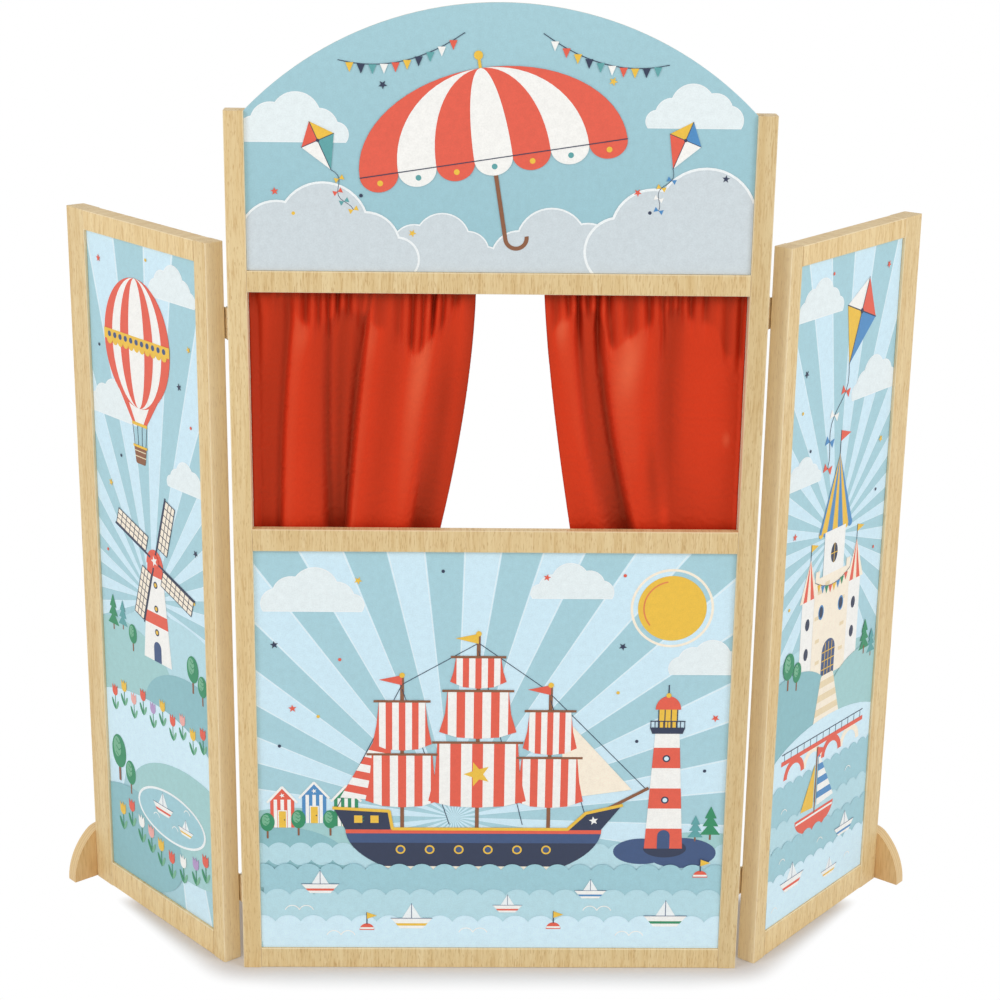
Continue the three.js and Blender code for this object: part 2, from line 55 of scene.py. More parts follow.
studio = {
    "skyStrength": 0.58,
    "leftLamp": (-2.6, -1.7, 2.2),
    "rightLamp": (2.6, -1.7, 2.2),
    "lampSize": 1.6,
    "lampPower": 32,
    "aim": (0, 0, 0.55),
    "floorReach": 30,
    "floorDrop": 0.2,
    # the floor turns white over this many metres, out from the ground that the stand takes up: at the middle,
    # and at the wings' ends, with the change between two distances from the middle
    "shadowReach": (0.06, 0.018),
    "reachChanges": (0.24, 0.5),
    # the camera sees the paper darker than its bounced light has it: painted shade, which deepens the shadow
    # near the stand, where the floor has not yet turned white
    "paper": "#FBFBFA",  # as its bounced light has it
    "shadedPaper": "#E0DEDF",  # as the camera has it
    "ground": {"front": 0.012, "back": 0.15, "hinge": (0.302, 0.0153), "turn": 50, "wingFront": 0.0273,
               "cornerRadius": 0.04},
}


def linearColour(code):  # an sRGB hex code as the linear colour that a shader takes
    shares = [int(code[i:i + 2], 16) / 255 for i in (1, 3, 5)]
    return [s / 12.92 if s <= 0.04045 else ((s + 0.055) / 1.055) ** 2.4 for s in shares] + [1]


# A node given as an input links its output in use, and a hex code becomes a colour
def addNode(tree, kind, inputs=None, **settings):
    node = tree.nodes.new("ShaderNode" + kind)
    for name, value in settings.items():
        setattr(node, name, value)
    for key, value in (inputs or {}).items():
        if isinstance(value, str):
            value = linearColour(value)
        if isinstance(value, bpy.types.Node):
            value = next(output for output in value.outputs if output.enabled)
        if isinstance(value, bpy.types.NodeSocket):
            tree.links.new(value, node.inputs[key])
        else:
            node.inputs[key].default_value = value
    return node


def emptied(owner):  # a world or material with no nodes yet, and what adds one to it
    owner.use_nodes = True
    owner.node_tree.nodes.clear()
    return owner, partial(addNode, owner.node_tree)


def newMaterial(name):
    return emptied(bpy.data.materials.new(name))


def addObject(name, data):
    made = bpy.data.objects.new(name, data)
    bpy.context.scene.collection.objects.link(made)
    return made


def meshOf(bm, name):
    mesh = bpy.data.meshes.new(name)
    bm.to_mesh(mesh)
    bm.free()
    return mesh


def placeCamera():
    down, turn, roll = (math.radians(shot[key]) for key in ("down", "turn", "roll"))
    across = Vector((math.cos(turn), math.sin(turn), 0))
    ahead = Vector((-math.sin(turn), math.cos(turn), 0))
    forward = ahead * math.cos(down) - Vector((0, 0, math.sin(down)))
    upward = ahead * math.sin(down) + Vector((0, 0, math.cos(down)))
    right = across * math.cos(roll) - upward * math.sin(roll)
    top = across * math.sin(roll) + upward * math.cos(roll)
    data = bpy.data.cameras.new("camera")
    data.sensor_width = shot["sensor"]
    data.lens = shot["focalPixels"] / shot["framePixels"] * shot["sensor"]
    data.clip_start = 0.05
    data.clip_end = 200
    camera = addObject("camera", data)
    place = Matrix((right, top, -forward)).transposed().to_4x4()
    place.translation = Vector(shot["place"]) * mm
    camera.matrix_world = place
    bpy.context.scene.camera = camera


def addLamp(name, place):
    data = bpy.data.lights.new(name, "AREA")
    data.shape = "DISK"
    data.size = studio["lampSize"]
    data.energy = studio["lampPower"]
    lamp = addObject(name, data)
    lamp.location = place
    lamp.rotation_euler = (Vector(studio["aim"]) - Vector(place)).to_track_quat("-Z", "Y").to_euler()


def seenDirectly(add):  # 1 for what the camera sees, straight, mirrored or through glass
    rays = add("LightPath")
    straight = add("Math", {0: rays.outputs["Is Camera Ray"], 1: rays.outputs["Is Glossy Ray"]},
                   operation="ADD")
    return add("Math", {0: straight, 1: rays.outputs["Is Transmission Ray"]}, operation="ADD", use_clamp=True)


def buildStudio():
    bpy.context.scene.world, add = emptied(bpy.data.worlds.new("studio"))
    light = add("Background", {"Color": "#FFFFFF", "Strength": studio["skyStrength"]})
    backdrop = add("Background", {"Color": "#FFFFFF", "Strength": 1.0})
    mix = add("MixShader", {0: seenDirectly(add), 1: light, 2: backdrop})
    add("OutputWorld", {0: mix})

    for name in ("leftLamp", "rightLamp"):
        addLamp(name, studio[name])

    bm = bmesh.new()
    bmesh.ops.create_grid(bm, x_segments=1, y_segments=1, size=studio["floorReach"],
                          matrix=Matrix.Translation((0, 0, -studio["floorDrop"] * mm)))
    mesh = meshOf(bm, "floor")
    floor = addObject("floor", mesh)
    material, add = newMaterial("paperFloor")  # matt white studio paper, which keeps the shadow
    seen = seenDirectly(add)
    ground = studio["ground"]
    sine, cosine = math.sin(math.radians(ground["turn"])), math.cos(math.radians(ground["turn"]))
    offset = ground["hinge"][0] * sine - ground["hinge"][1] * cosine + ground["wingFront"]
    parts = add("SeparateXYZ", {0: add("TexCoord").outputs["Object"]})
    ahead = add("Math", {0: parts.outputs["Y"], 1: -1.0, 2: -ground["front"]}, operation="MULTIPLY_ADD")
    beyond = add("Math", {0: parts.outputs["Y"], 1: ground["back"]}, operation="SUBTRACT")
    outward = add("Math", {0: parts.outputs["X"]}, operation="ABSOLUTE")
    aside = add("Math", {0: outward, 1: sine, 2: -offset}, operation="MULTIPLY_ADD")
    aside = add("Math", {0: parts.outputs["Y"], 1: -cosine, 2: aside}, operation="MULTIPLY_ADD")
    off = add("Math", {0: ahead, 1: aside, 2: ground["cornerRadius"]}, operation="SMOOTH_MAX")
    off = add("Math", {0: off, 1: beyond, 2: ground["cornerRadius"]}, operation="SMOOTH_MAX")
    nearReach, farReach = studio["shadowReach"]
    near, far = studio["reachChanges"]
    reach = add("MapRange", {0: outward, 1: near, 2: far, 3: nearReach, 4: farReach})
    away = add("MapRange", {0: off, 1: 0.0, 2: reach}, interpolation_type="SMOOTHSTEP")
    fade = add("Math", {0: away, 1: seen}, operation="MULTIPLY")
    # painted shade: darker paper for the camera than for bounced light
    tone = add("Mix", {0: seen, 6: studio["paper"], 7: studio["shadedPaper"]}, data_type="RGBA")
    paper = add("BsdfDiffuse", {"Color": tone})
    white = add("Emission", {"Strength": 1.0})
    mix = add("MixShader", {0: fade, 1: paper, 2: white})
    add("OutputMaterial", {0: mix})
    mesh.materials.append(material)
    bpy.context.scene.view_settings.view_transform = "Standard"
    print("studio ready")


placeCamera()
buildStudio()


# Where the panels are, in millimetres
board = {
    "panelFront": -8,
    "openingHalf": 278,
    "lowerBottom": 26,
    "lowerTop": 536,
    "headerBottom": 862,
    "stileTop": 1037,
    "archRise": 117,
    "hinge": (302, 15.3),
    "wingTurn": 50,
    "wingPanelFront": -23.3,
    "wingOpening": (26, 260),
    "wingBottom": 34,
    "wingTop": 866,
}
board["archRadius"] = (board["openingHalf"] ** 2 + board["archRise"] ** 2) / (2 * board["archRise"])
board["archCentre"] = board["stileTop"] + board["archRise"] - board["archRadius"]
board["wingMiddle"] = sum(board["wingOpening"]) / 2
board["wingHalf"] = board["wingOpening"][1] - board["wingMiddle"]


def wingPlace(side, across=0, depth=0):  # from a wing's own axes to the theater's, in metres
    hinge = Vector((side * board["hinge"][0], board["hinge"][1], 0))
    turn = Matrix.Rotation(side * math.radians(board["wingTurn"]), 4, "Z")
    return (Matrix.Scale(mm, 4) @ Matrix.Translation(hinge) @ turn
            @ Matrix.Translation((across, depth, 0)))


def turnedSpace(add, turn, place=(0, 0, 0)):  # a piece's own coordinates, turned and moved
    where = add("TexCoord").outputs["Object"]
    return add("Mapping", {"Vector": where, "Location": place, "Rotation": (0, 0, math.radians(turn))},
               vector_type="TEXTURE")


# Finishes
varnishedWood = {
    "pale": "#F1D8A5",
    "body": "#E4C58C",
    "dark": "#CDA365",
    "pore": "#BC9053",
    # painted highlight along the arrises and painted light on the side faces, with their shares
    "paintedHighlight": "#FFF0CF",
    "arrisHighlightShare": 0.5,
    "sideLightShare": 0.35,
    "streakSize": (1.6, 24),  # millimetres across and along; real vessels are finer, and are drawn to show
    "bandSize": (9, 260),
    "poreSize": (1.1, 9),
}


# Rubberwood under a satin varnish: short dark vessels along the grain over soft growth bands.
# A rail's grain is drawn upright and into the depth, as the veneer on its front and top runs.
# The arrises carry a painted highlight, a pale fine line, and faces turned to the sides a painted lighter
# tone
def makeWood(name, turn=0, intoDepth=False, shade=1.0):
    w = varnishedWood
    tones = {key: [part * shade for part in linearColour(w[key])[:3]] + [1]
             for key in ("pale", "body", "dark", "pore", "paintedHighlight")}
    material, add = newMaterial(name)
    local = turnedSpace(add, turn)
    fields = {}
    for key in ("streakSize", "bandSize", "poreSize"):
        across, along = w[key]
        depth = along if intoDepth else across
        scale = (1 / (across * mm), 1 / (depth * mm), 1 / (along * mm))
        fields[key] = add("Mapping", {"Vector": local, "Scale": scale})
    band = add("TexNoise", {"Vector": fields["bandSize"], "Scale": 1.0, "Detail": 3.0, "Distortion": 0.4})
    streak = add("TexNoise", {"Vector": fields["streakSize"], "Scale": 1.0, "Detail": 2.0, "Roughness": 0.6})
    pore = add("TexNoise", {"Vector": fields["poreSize"], "Scale": 1.0, "Detail": 1.0})
    bandShare = add("MapRange", {0: band, 1: 0.3, 2: 0.7})
    streakShare = add("MapRange", {0: streak, 1: 0.5, 2: 0.72, 4: 0.62})
    poreShare = add("MapRange", {0: pore, 1: 0.6, 2: 0.7, 4: 0.5})
    tone = tones["body"]
    for share, key in ((bandShare, "pale"), (streakShare, "dark"), (poreShare, "pore")):
        tone = add("Mix", {0: share, 6: tone, 7: tones[key]}, data_type="RGBA")
    facing = add("VectorTransform", {0: add("NewGeometry").outputs["True Normal"]}, vector_type="NORMAL",
                 convert_from="WORLD", convert_to="OBJECT")
    facing = add("Mapping", {"Vector": facing, "Rotation": (0, 0, math.radians(turn))}, vector_type="TEXTURE")
    facing = add("VectorMath", {0: facing}, operation="ABSOLUTE")
    sides = add("SeparateXYZ", {0: facing})
    square = add("Math", {0: sides.outputs["X"], 1: sides.outputs["Y"]}, operation="MAXIMUM")
    square = add("Math", {0: square, 1: sides.outputs["Z"]}, operation="MAXIMUM")
    # painted highlight on the arrises and painted light on the side faces, mixed into the wood's colour
    arris = add("MapRange", {0: square, 1: 0.97, 2: 0.94, 4: w["arrisHighlightShare"]})
    side = add("MapRange", {0: sides.outputs["X"], 1: 0.9, 2: 0.97, 4: w["sideLightShare"]})
    paintedLight = add("Math", {0: arris, 1: side}, operation="MAXIMUM")
    tone = add("Mix", {0: paintedLight, 6: tone, 7: tones["paintedHighlight"]}, data_type="RGBA")
    gloss = add("MapRange", {0: streak, 1: 0.3, 2: 0.7, 3: 0.42, 4: 0.56})
    height = add("Math", {0: poreShare, 1: -1.0, 2: streak}, operation="MULTIPLY_ADD")
    bump = add("Bump", {"Strength": 0.25, "Distance": 0.12 * mm, "Height": height})
    shader = add("BsdfPrincipled", {"Base Color": tone, "Roughness": gloss, "Normal": bump, "IOR": 1.5})
    add("OutputMaterial", {0: shader})
    return material


plywood = {
    "face": "#F3CC92",
    "faceDark": "#E0B478",
    "edge": "#EBCB95",
    "glue": "#C79B62",
    "plies": 7,
    "thickness": 16,
    "innerFace": 298.3,
    "streakSize": (1.8, 30),
}


# Varnished plywood: a browner face, and pale and dark plies along the sawn edge
def makePlywood(name, side):
    p = plywood
    material, add = newMaterial(name)
    start = wingPlace(side, side * p["innerFace"]).translation
    local = turnedSpace(add, side * board["wingTurn"], start)
    parts = add("SeparateXYZ", {0: local})
    share = add("Math", {0: parts.outputs["X"], 1: side / (p["thickness"] * mm)}, operation="MULTIPLY")
    offFace = add("Math", {0: share, 1: 0.5}, operation="PINGPONG")
    edge = add("MapRange", {0: offFace, 1: 0.005, 2: 0.03})  # 1 on the sawn edge
    wave = add("Math", {0: share, 1: p["plies"] / 2}, operation="MULTIPLY")
    ply = add("Math", {0: wave, 1: 0.5}, operation="PINGPONG")
    plyShare = add("MapRange", {0: ply, 1: 0.34, 2: 0.46, 4: 0.55})
    across, along = [1 / (size * mm) for size in p["streakSize"]]
    field = add("Mapping", {"Vector": local, "Scale": (across, across, along)})
    grain = add("TexNoise", {"Vector": field, "Scale": 1.0, "Detail": 3.0, "Roughness": 0.6})
    grainShare = add("MapRange", {0: grain, 1: 0.42, 2: 0.7})
    sawShare = add("MapRange", {0: grain, 1: 0.5, 2: 0.75, 4: 0.4})
    face = add("Mix", {0: grainShare, 6: p["face"], 7: p["faceDark"]}, data_type="RGBA")
    sawn = add("Mix", {0: plyShare, 6: p["edge"], 7: p["glue"]}, data_type="RGBA")
    sawn = add("Mix", {0: sawShare, 6: sawn, 7: p["face"]}, data_type="RGBA")
    tone = add("Mix", {0: edge, 6: face, 7: sawn}, data_type="RGBA")
    bump = add("Bump", {"Strength": 0.2, "Distance": 0.1 * mm, "Height": grain})
    shader = add("BsdfPrincipled", {"Base Color": tone, "Roughness": 0.45, "Normal": bump, "IOR": 1.5})
    add("OutputMaterial", {0: shader})
    return material


printInk = {
    "mottleSize": 7,      # soft clouding of the ink
    "toothSize": 1.6,     # paper tooth; the real one is finer, and is drawn to show
    "mottle": 0.03,
    "tooth": 0.035,
    "roughness": 0.46,
}


# Satin offset print on board: even ink with a faint clouding and paper tooth
def finishInk(add, colour):
    k = printInk
    where = add("TexCoord").outputs["Object"]
    cloud = add("TexNoise", {"Vector": where, "Scale": 1 / (k["mottleSize"] * mm), "Detail": 3.0})
    tooth = add("TexNoise", {"Vector": where, "Scale": 1 / (k["toothSize"] * mm), "Detail": 1.0})
    cloudShare = add("MapRange", {0: cloud, 1: 0.3, 2: 0.7, 3: 1 - k["mottle"], 4: 1 + k["mottle"]})
    toothShare = add("MapRange", {0: tooth, 1: 0.3, 2: 0.7, 3: 1 - k["tooth"], 4: 1 + k["tooth"]})
    light = add("Math", {0: cloudShare, 1: toothShare}, operation="MULTIPLY")
    shade = add("HueSaturation", {"Value": light, "Color": colour})
    gloss = add("MapRange", {0: tooth, 1: 0.3, 2: 0.7, 3: k["roughness"] - 0.04, 4: k["roughness"] + 0.05})
    bump = add("Bump", {"Strength": 0.12, "Distance": 0.05 * mm, "Height": tooth})
    shader = add("BsdfPrincipled", {"Base Color": shade, "Roughness": gloss, "Normal": bump, "IOR": 1.5})
    add("OutputMaterial", {0: shader})


skyPrint = {
    "high": "#AAD2DC",
    "low": "#9CC8D3",
    "sky": "#ABD4DF",
    "ray": "#D4F0FD",
    "rim": "#E6F7FE",
    "rimShare": 0.035,
    "rawBoard": "#D9C29A",
    "printDepth": 0.3,
    "board": {"header_panel": {"centre": (0, 1000), "rays": 0},
              "lower_panel": {"centre": (-45, 200), "rays": 24, "first": 0.15},
              "left_wing_panel": {"centre": (0, 430), "rays": 22, "first": 0.2},
              "right_wing_panel": {"centre": (0, 520), "rays": 22, "first": 0.2}},
}


# A printed hardboard panel: sky blue, with pale rays about a centre if it has any, and bare board behind
def makeSky(name, place, turn, rays, first=0.0):
    k = skyPrint
    material, add = newMaterial(name)
    parts = add("SeparateXYZ", {0: turnedSpace(add, turn, place)})
    rise = add("MapRange", {0: parts.outputs["Z"], 1: -0.15, 2: 0.2})
    colour = add("Mix", {0: rise, 6: k["low"], 7: k["high"]}, data_type="RGBA")
    if rays:
        angle = add("Math", {0: parts.outputs["X"], 1: parts.outputs["Z"]}, operation="ARCTAN2")
        turns = add("Math", {0: angle, 1: rays / math.tau, 2: first}, operation="MULTIPLY_ADD")
        wave = add("Math", {0: turns, 1: 0.5}, operation="PINGPONG")
        pale = add("Math", {0: wave, 1: 0.25}, operation="GREATER_THAN")
        rim = add("Math", {0: wave, 1: 0.25 + k["rimShare"] / 2, 2: k["rimShare"] / 4}, operation="COMPARE")
        colour = add("Mix", {0: pale, 6: k["sky"], 7: k["ray"]}, data_type="RGBA")
        colour = add("Mix", {0: rim, 6: colour, 7: k["rim"]}, data_type="RGBA")
    behind = add("MapRange", {0: parts.outputs["Y"], 1: k["printDepth"] * mm * 0.9, 2: k["printDepth"] * mm})
    colour = add("Mix", {0: behind, 6: colour, 7: k["rawBoard"]}, data_type="RGBA")
    finishInk(add, colour)
    return material


# A plated steel: even metal with small dull spots, as lacquer and handling leave it
def makeMetal(name, colour, worn, roughness):
    material, add = newMaterial(name)
    where = add("TexCoord").outputs["Object"]
    spots = add("TexNoise", {"Vector": where, "Scale": 1 / (1.5 * mm), "Detail": 3.0})
    wear = add("MapRange", {0: spots, 1: 0.4, 2: 0.7, 4: 0.6})
    tone = add("Mix", {0: wear, 6: colour, 7: worn}, data_type="RGBA")
    gloss = add("MapRange", {0: spots, 1: 0.3, 2: 0.7, 3: roughness - 0.06, 4: roughness + 0.1})
    shader = add("BsdfPrincipled", {"Base Color": tone, "Metallic": 1.0, "Roughness": gloss})
    add("OutputMaterial", {0: shader})
    return material


def paint(material, *names):
    for name in names:
        for slot in nodes[name].material_slots:
            slot.material = material


# plated hinge leaves, dulled by lacquer
antiqueBronze = makeMetal("antiqueBronzeSteel", "#DBC69F", "#E8D6B4", 0.55)
nickelSteel = makeMetal("nickelPlatedSteel", "#B4B0A6", "#D3D0C8", 0.3)  # bright plated screws and pins

paint(makeWood("leftStileWood", shade=0.96), "left_stile", "curtain_rod")  # boards differ a little in tone
paint(makeWood("rightStileWood", shade=0.88), "right_stile")
paint(makeWood("frameRailWood", intoDepth=True, shade=0.94), "header_rail", "stage_rail", "bottom_rail")
for side, word in ((-1, "left"), (1, "right")):
    turn = side * board["wingTurn"]
    paint(makeWood(f"{word}WingStileWood", turn=turn, shade=0.97), f"{word}_wing_inner_stile",
          f"{word}_wing_outer_stile")
    paint(makeWood(f"{word}WingRailWood", turn=turn, intoDepth=True, shade=1.03),
          f"{word}_wing_top_rail", f"{word}_wing_bottom_rail")
    paint(makePlywood(f"{word}FootPlywood", side), f"{word}_foot")
for name, values in skyPrint["board"].items():
    across, high = values["centre"]
    side = {"l": -1, "r": 1}[name[0]] if "wing" in name else 0
    if side:
        place = wingPlace(side, side * board["wingMiddle"] + across, board["wingPanelFront"]).translation
    else:
        place = Vector((across, board["panelFront"], 0)) * mm
    place.z = high * mm
    turn, first = side * board["wingTurn"], values.get("first", 0)
    paint(makeSky(f"{name}Print", place, turn, values["rays"], first), name)
for name in nodes:
    if name.endswith("_leaf"):
        paint(antiqueBronze, name)
    if name.endswith("_screw") or name.endswith("_pin"):
        paint(nickelSteel, name)
print("frame finished")


# Printed pictures, drawn flat in millimetres: X across a panel, Y up it, and layers of ink towards the viewer
inks = {
    "red": "#E9604A", "white": "#FBFAF6", "cream": "#FFF3DF", "navy": "#2A3550", "yellow": "#F2C443",
    "blue": "#4E8EC6", "deepBlue": "#3D5580", "teal": "#5FA6A8", "green": "#2F8F63", "leaf": "#78B894",
    "pink": "#F2AFA8", "lilac": "#B99CCB", "orange": "#E8834F", "brown": "#8C5A3C", "sand": "#F0DDB8",
    "cloud": "#ECF6F8", "lowCloud": "#D3DDE2", "cloudRim": "#F6FBFC", "mist": "#D8F3FF", "lake": "#A3D0DB",
    "foam": "#BCE1EB", "hill": "#A6D2D3", "hollow": "#8FC1C9",
}
inkNames = list(inks)
drawing = {"layerStep": 0.1, "apart": 0.003, "edge": 0.2, "archEdge": 0.8}
page = {"sheet": None, "layer": 0}  # the picture being drawn, and the layer that its motif lies on


def layerDepth(layer):  # shapes of one layer lie a hair apart, so that no two share a plane
    apart = len(page["sheet"].faces) % 31 * drawing["apart"]
    return (page["layer"] + layer + 0.6) * drawing["layerStep"] + apart


def inkNew(ink):  # faces just drawn carry no ink number yet
    new = [face for face in page["sheet"].faces if face.material_index == 0]
    for face in new:
        face.material_index = inkNames.index(ink) + 1
    return new


def withCorners(faces):
    return list({*faces, *(edge for face in faces for edge in face.edges),
                 *(vertex for face in faces for vertex in face.verts)})


def kindOf(kind, parts):
    return [part for part in parts if isinstance(part, kind)]


def disc(ink, layer, x, y, wide, high=None, turn=0, sides=40):
    place = (Matrix.Translation((x, y, layerDepth(layer))) @ Matrix.Rotation(math.radians(turn), 4, "Z")
             @ Matrix.Diagonal((wide, high or wide, 1, 1)))
    bmesh.ops.create_circle(page["sheet"], cap_ends=True, segments=sides, radius=1, matrix=place)
    return inkNew(ink)


def patch(ink, layer, *corners, soft=0):
    bm, depth = page["sheet"], layerDepth(layer)
    made = [bm.verts.new((x, y, depth)) for x, y in corners]
    bm.faces.new(made)
    if soft:
        bmesh.ops.bevel(bm, geom=made, offset=soft, affect="VERTICES", segments=5, profile=0.5, material=-1)
    return inkNew(ink)


def oblong(ink, layer, left, low, right, high):
    return patch(ink, layer, (left, low), (right, low), (right, high), (left, high))


def strip(ink, layer, width, *points):  # a line of one width through points
    for start, end in zip(points, points[1:]):
        along = (Vector(end) - Vector(start)).normalized() * width / 2
        side = Vector((-along.y, along.x))
        a, b = Vector(start) - along * 0.3, Vector(end) + along * 0.3
        patch(ink, layer, a - side, b - side, b + side, a + side)


def arc(ink, layer, x, y, radius, width, start, sweep, steps=20):
    bm, middle = page["sheet"], Vector((x, y, layerDepth(layer)))
    out = Vector((math.cos(math.radians(start)), math.sin(math.radians(start)), 0))
    ends = [bm.verts.new(middle + out * (radius + off)) for off in (-width / 2, width / 2)]
    edge = bm.edges.new(ends)
    bmesh.ops.spin(bm, geom=[*ends, edge], cent=middle, axis=(0, 0, 1), dvec=(0, 0, 0),
                   angle=math.radians(sweep), steps=steps, use_merge=abs(sweep) == 360, use_duplicate=False)
    return inkNew(ink)


def star(ink, layer, x, y, size, turn=0, points=5, waist=0.42):
    middle = Vector((x, y, layerDepth(layer)))
    place = Matrix.Translation(middle) @ Matrix.Rotation(math.radians(turn), 4, "Z")
    made = bmesh.ops.create_circle(page["sheet"], cap_ends=True, segments=2 * points, radius=size,
                                   matrix=place)
    for number, vertex in enumerate(made["verts"]):
        if number % 2:
            vertex.co = middle.lerp(vertex.co, waist)
    return inkNew(ink)


def cutAlong(faces, point, across, **options):
    made = bmesh.ops.bisect_plane(page["sheet"], geom=withCorners(faces), plane_co=point, plane_no=across,
                                  **options)
    return kindOf(bmesh.types.BMFace, made["geom"])


def trim(faces, point, outward):  # what lies outward of a line goes
    return cutAlong(faces, (*point, 0), (*outward, 0), clear_outer=True)


def inkInTurn(faces, names, place):  # place gives how many bands or wedges come before a face's middle
    for face in faces:
        number = math.floor(place(face.calc_center_median()))
        face.material_index = inkNames.index(names[number % len(names)]) + 1


def bands(faces, names, pitch, turn=0, start=0):  # inks in turn, in straight bands across a direction
    across = Vector((math.cos(math.radians(turn)), math.sin(math.radians(turn)), 0))
    spans = [vertex.co.dot(across) for face in faces for vertex in face.verts]
    first, last = (math.floor((span - start) / pitch) for span in (min(spans), max(spans)))
    for number in range(first + 1, last + 1):
        faces = cutAlong(faces, across * (start + number * pitch), across)
    inkInTurn(faces, names, lambda middle: (middle.dot(across) - start) / pitch)


def wedges(faces, names, x, y, step, start=0):  # inks in turn, in wedges about a point
    centre = Vector((x, y, 0))
    for number in range(round(180 / step)):
        angle = math.radians(start + number * step)
        faces = cutAlong(faces, centre, (-math.sin(angle), math.cos(angle), 0))
    inkInTurn(faces, names, lambda middle: (
        math.degrees(math.atan2(middle.y - centre.y, middle.x - centre.x)) - start) / step)


def stamp(motif, layer, x, y, size=1, turn=0, flip=False, **options):  # a motif set down in the picture
    before = set(page["sheet"].verts)
    page["layer"] = layer
    motif(**options)
    page["layer"] = 0
    place = (Matrix.Translation((x, y, 0)) @ Matrix.Rotation(math.radians(turn), 4, "Z")
             @ Matrix.Diagonal((-size if flip else size, size, 1, 1)))
    made = [vertex for vertex in page["sheet"].verts if vertex not in before]
    bmesh.ops.transform(page["sheet"], matrix=place, verts=made)


def cloud(low=-12, main="cloud"):
    lobes = ((-62, 2, 28), (-34, 20, 34), (10, 30, 42), (50, 12, 32), (80, 0, 20))
    for ink, more in (("cloudRim", 2.2), (main, 0)):
        for x, y, radius in lobes:
            trim(disc(ink, more == 0, x, y, radius + more), (0, low - more), (0, -1))
        oblong(ink, more == 0, -80 - more, low - more, 90 + more, 0)


def tree():
    strip("brown", 0, 3.5, (0, 0), (0, 22))
    disc("green", 0, 0, 32, 13, 18)
    disc("leaf", 1, -3, 36, 7, 11)
    for y in (26, 33, 40):
        for x in (5, -5):
            strip("green", 2, 1.1, (0, y), (x, y + 4))


def fir(ink="green"):
    strip("brown", 0, 3, (0, 0), (0, 12))
    for number, (low, wide) in enumerate(((8, 15), (22, 12), (35, 9))):
        patch(ink, number, (-wide, low), (wide, low), (0, low + 20), soft=1)


def tulip(flower="red"):
    strip("green", 0, 1.8, (0, 0), (0, 25))
    disc("green", 0, -5, 9, 2.6, 9, turn=26, sides=20)
    disc("leaf", 0, 5, 8, 2.6, 8, turn=-26, sides=20)
    trim(disc(flower, 1, 0, 30, 7, 8, sides=24), (0, 32), (0, 1))
    patch(flower, 1, (-7, 31.5), (7, 31.5), (6.6, 40), (2.6, 35), (0, 41), (-2.6, 35), (-6.6, 40))


def pennants(layer, start, end, sag, count, names):
    points = []
    for share in (number / count for number in range(count + 1)):
        points.append((start[0] + (end[0] - start[0]) * share,
                       start[1] + (end[1] - start[1]) * share - 4 * sag * share * (1 - share)))
    strip("navy", layer, 0.9, *points)
    for number in range(1, count):
        x, y = points[number]
        patch(names[number % len(names)], layer + 1, (x - 4.4, y), (x, y - 10.5), (x + 4.4, y))


def scallops(layer, ink, high, left, right, radius):  # water with a scalloped edge, on two layers
    oblong(ink, layer, left, 0, right, high)
    for number in range(math.ceil((right - left) / (radius * 1.7)) + 1):
        disc(ink, layer + 1, left + number * radius * 1.7, high - radius * 0.45, radius, sides=28)


def paperBoat(trimInk="red"):
    patch("white", 0, (-24, 0), (-13, -13), (13, -13), (24, 0))
    patch("cloudRim", 0, (-11, 0), (0, 19), (11, 0))
    patch(trimInk, 1, (-18.5, -6.5), (-16, -9.5), (16, -9.5), (18.5, -6.5))
    strip("deepBlue", 1, 0.8, (0, 19), (0, 0))
    strip("deepBlue", 1, 0.8, (-24, 0), (24, 0))


def sailBoat():
    trim(disc("red", 0, 0, 8, 34, 20), (0, 8), (0, 1))
    strip("white", 1, 2, (-32, 4.5), (32, 4.5))
    strip("brown", 0, 2, (0, 6), (0, 72))
    bands(patch("white", 1, (3, 12), (33, 14), (3, 66)), ("white", "blue"), 7, turn=90, start=12)
    patch("yellow", 1, (-3, 12), (-3, 56), (-25, 14))
    patch("red", 1, (0, 72), (14, 67), (0, 62))


def kite(a="red", b="yellow", c="white", d="teal", drop=92):
    patch(a, 0, (0, 10), (0, 46), (-31, 10))
    patch(b, 0, (0, 10), (31, 10), (0, 46))
    patch(c, 0, (0, 10), (-31, 10), (0, -46))
    patch(d, 0, (0, 10), (0, -46), (31, 10))
    strip("navy", 1, 1.2, (0, 46), (0, -46))
    strip("navy", 1, 1.2, (-31, 10), (31, 10))
    disc("navy", 2, 0, 10, 3, sides=20)
    tail = [(7 * math.sin(number / 12 * 8), -46 - drop * number / 12) for number in range(13)]
    strip("navy", 0, 1, *tail)
    for number, ink in ((3, b), (6, a), (9, d), (12, b)):
        x, y = tail[number]
        patch(ink, 1, (x, y), (x - 8, y + 5), (x - 8, y - 5))
        patch(ink, 1, (x, y), (x + 8, y - 5), (x + 8, y + 5))


def parasol():
    strip("brown", 0, 4.6, (0, 0), (0, -92))
    arc("brown", 0, 12, -92, 12, 4.6, 180, 180)
    gores = ((150, "red"), (107, "white"), (64, "red"), (21.5, "white"))
    for number, (wide, ink) in enumerate(gores):
        trim(disc(ink, 2 + number, 0, 0, wide, 100, sides=64), (0, 0), (0, -1))
        for middle in {wide - 21.5, 21.5 - wide}:
            trim(disc(ink, 1, middle, 0, 21.5, 19), (0, 0), (0, 1))
            disc("yellow" if ink == "red" else "teal", 2, middle, -9, 3.2, sides=20)
    strip("yellow", 1, 3.4, (0, 98), (0, 112))
    disc("yellow", 1, 0, 114, 5, sides=24)
    strip("navy", 5, 1.1, (-150, 0), (150, 0))


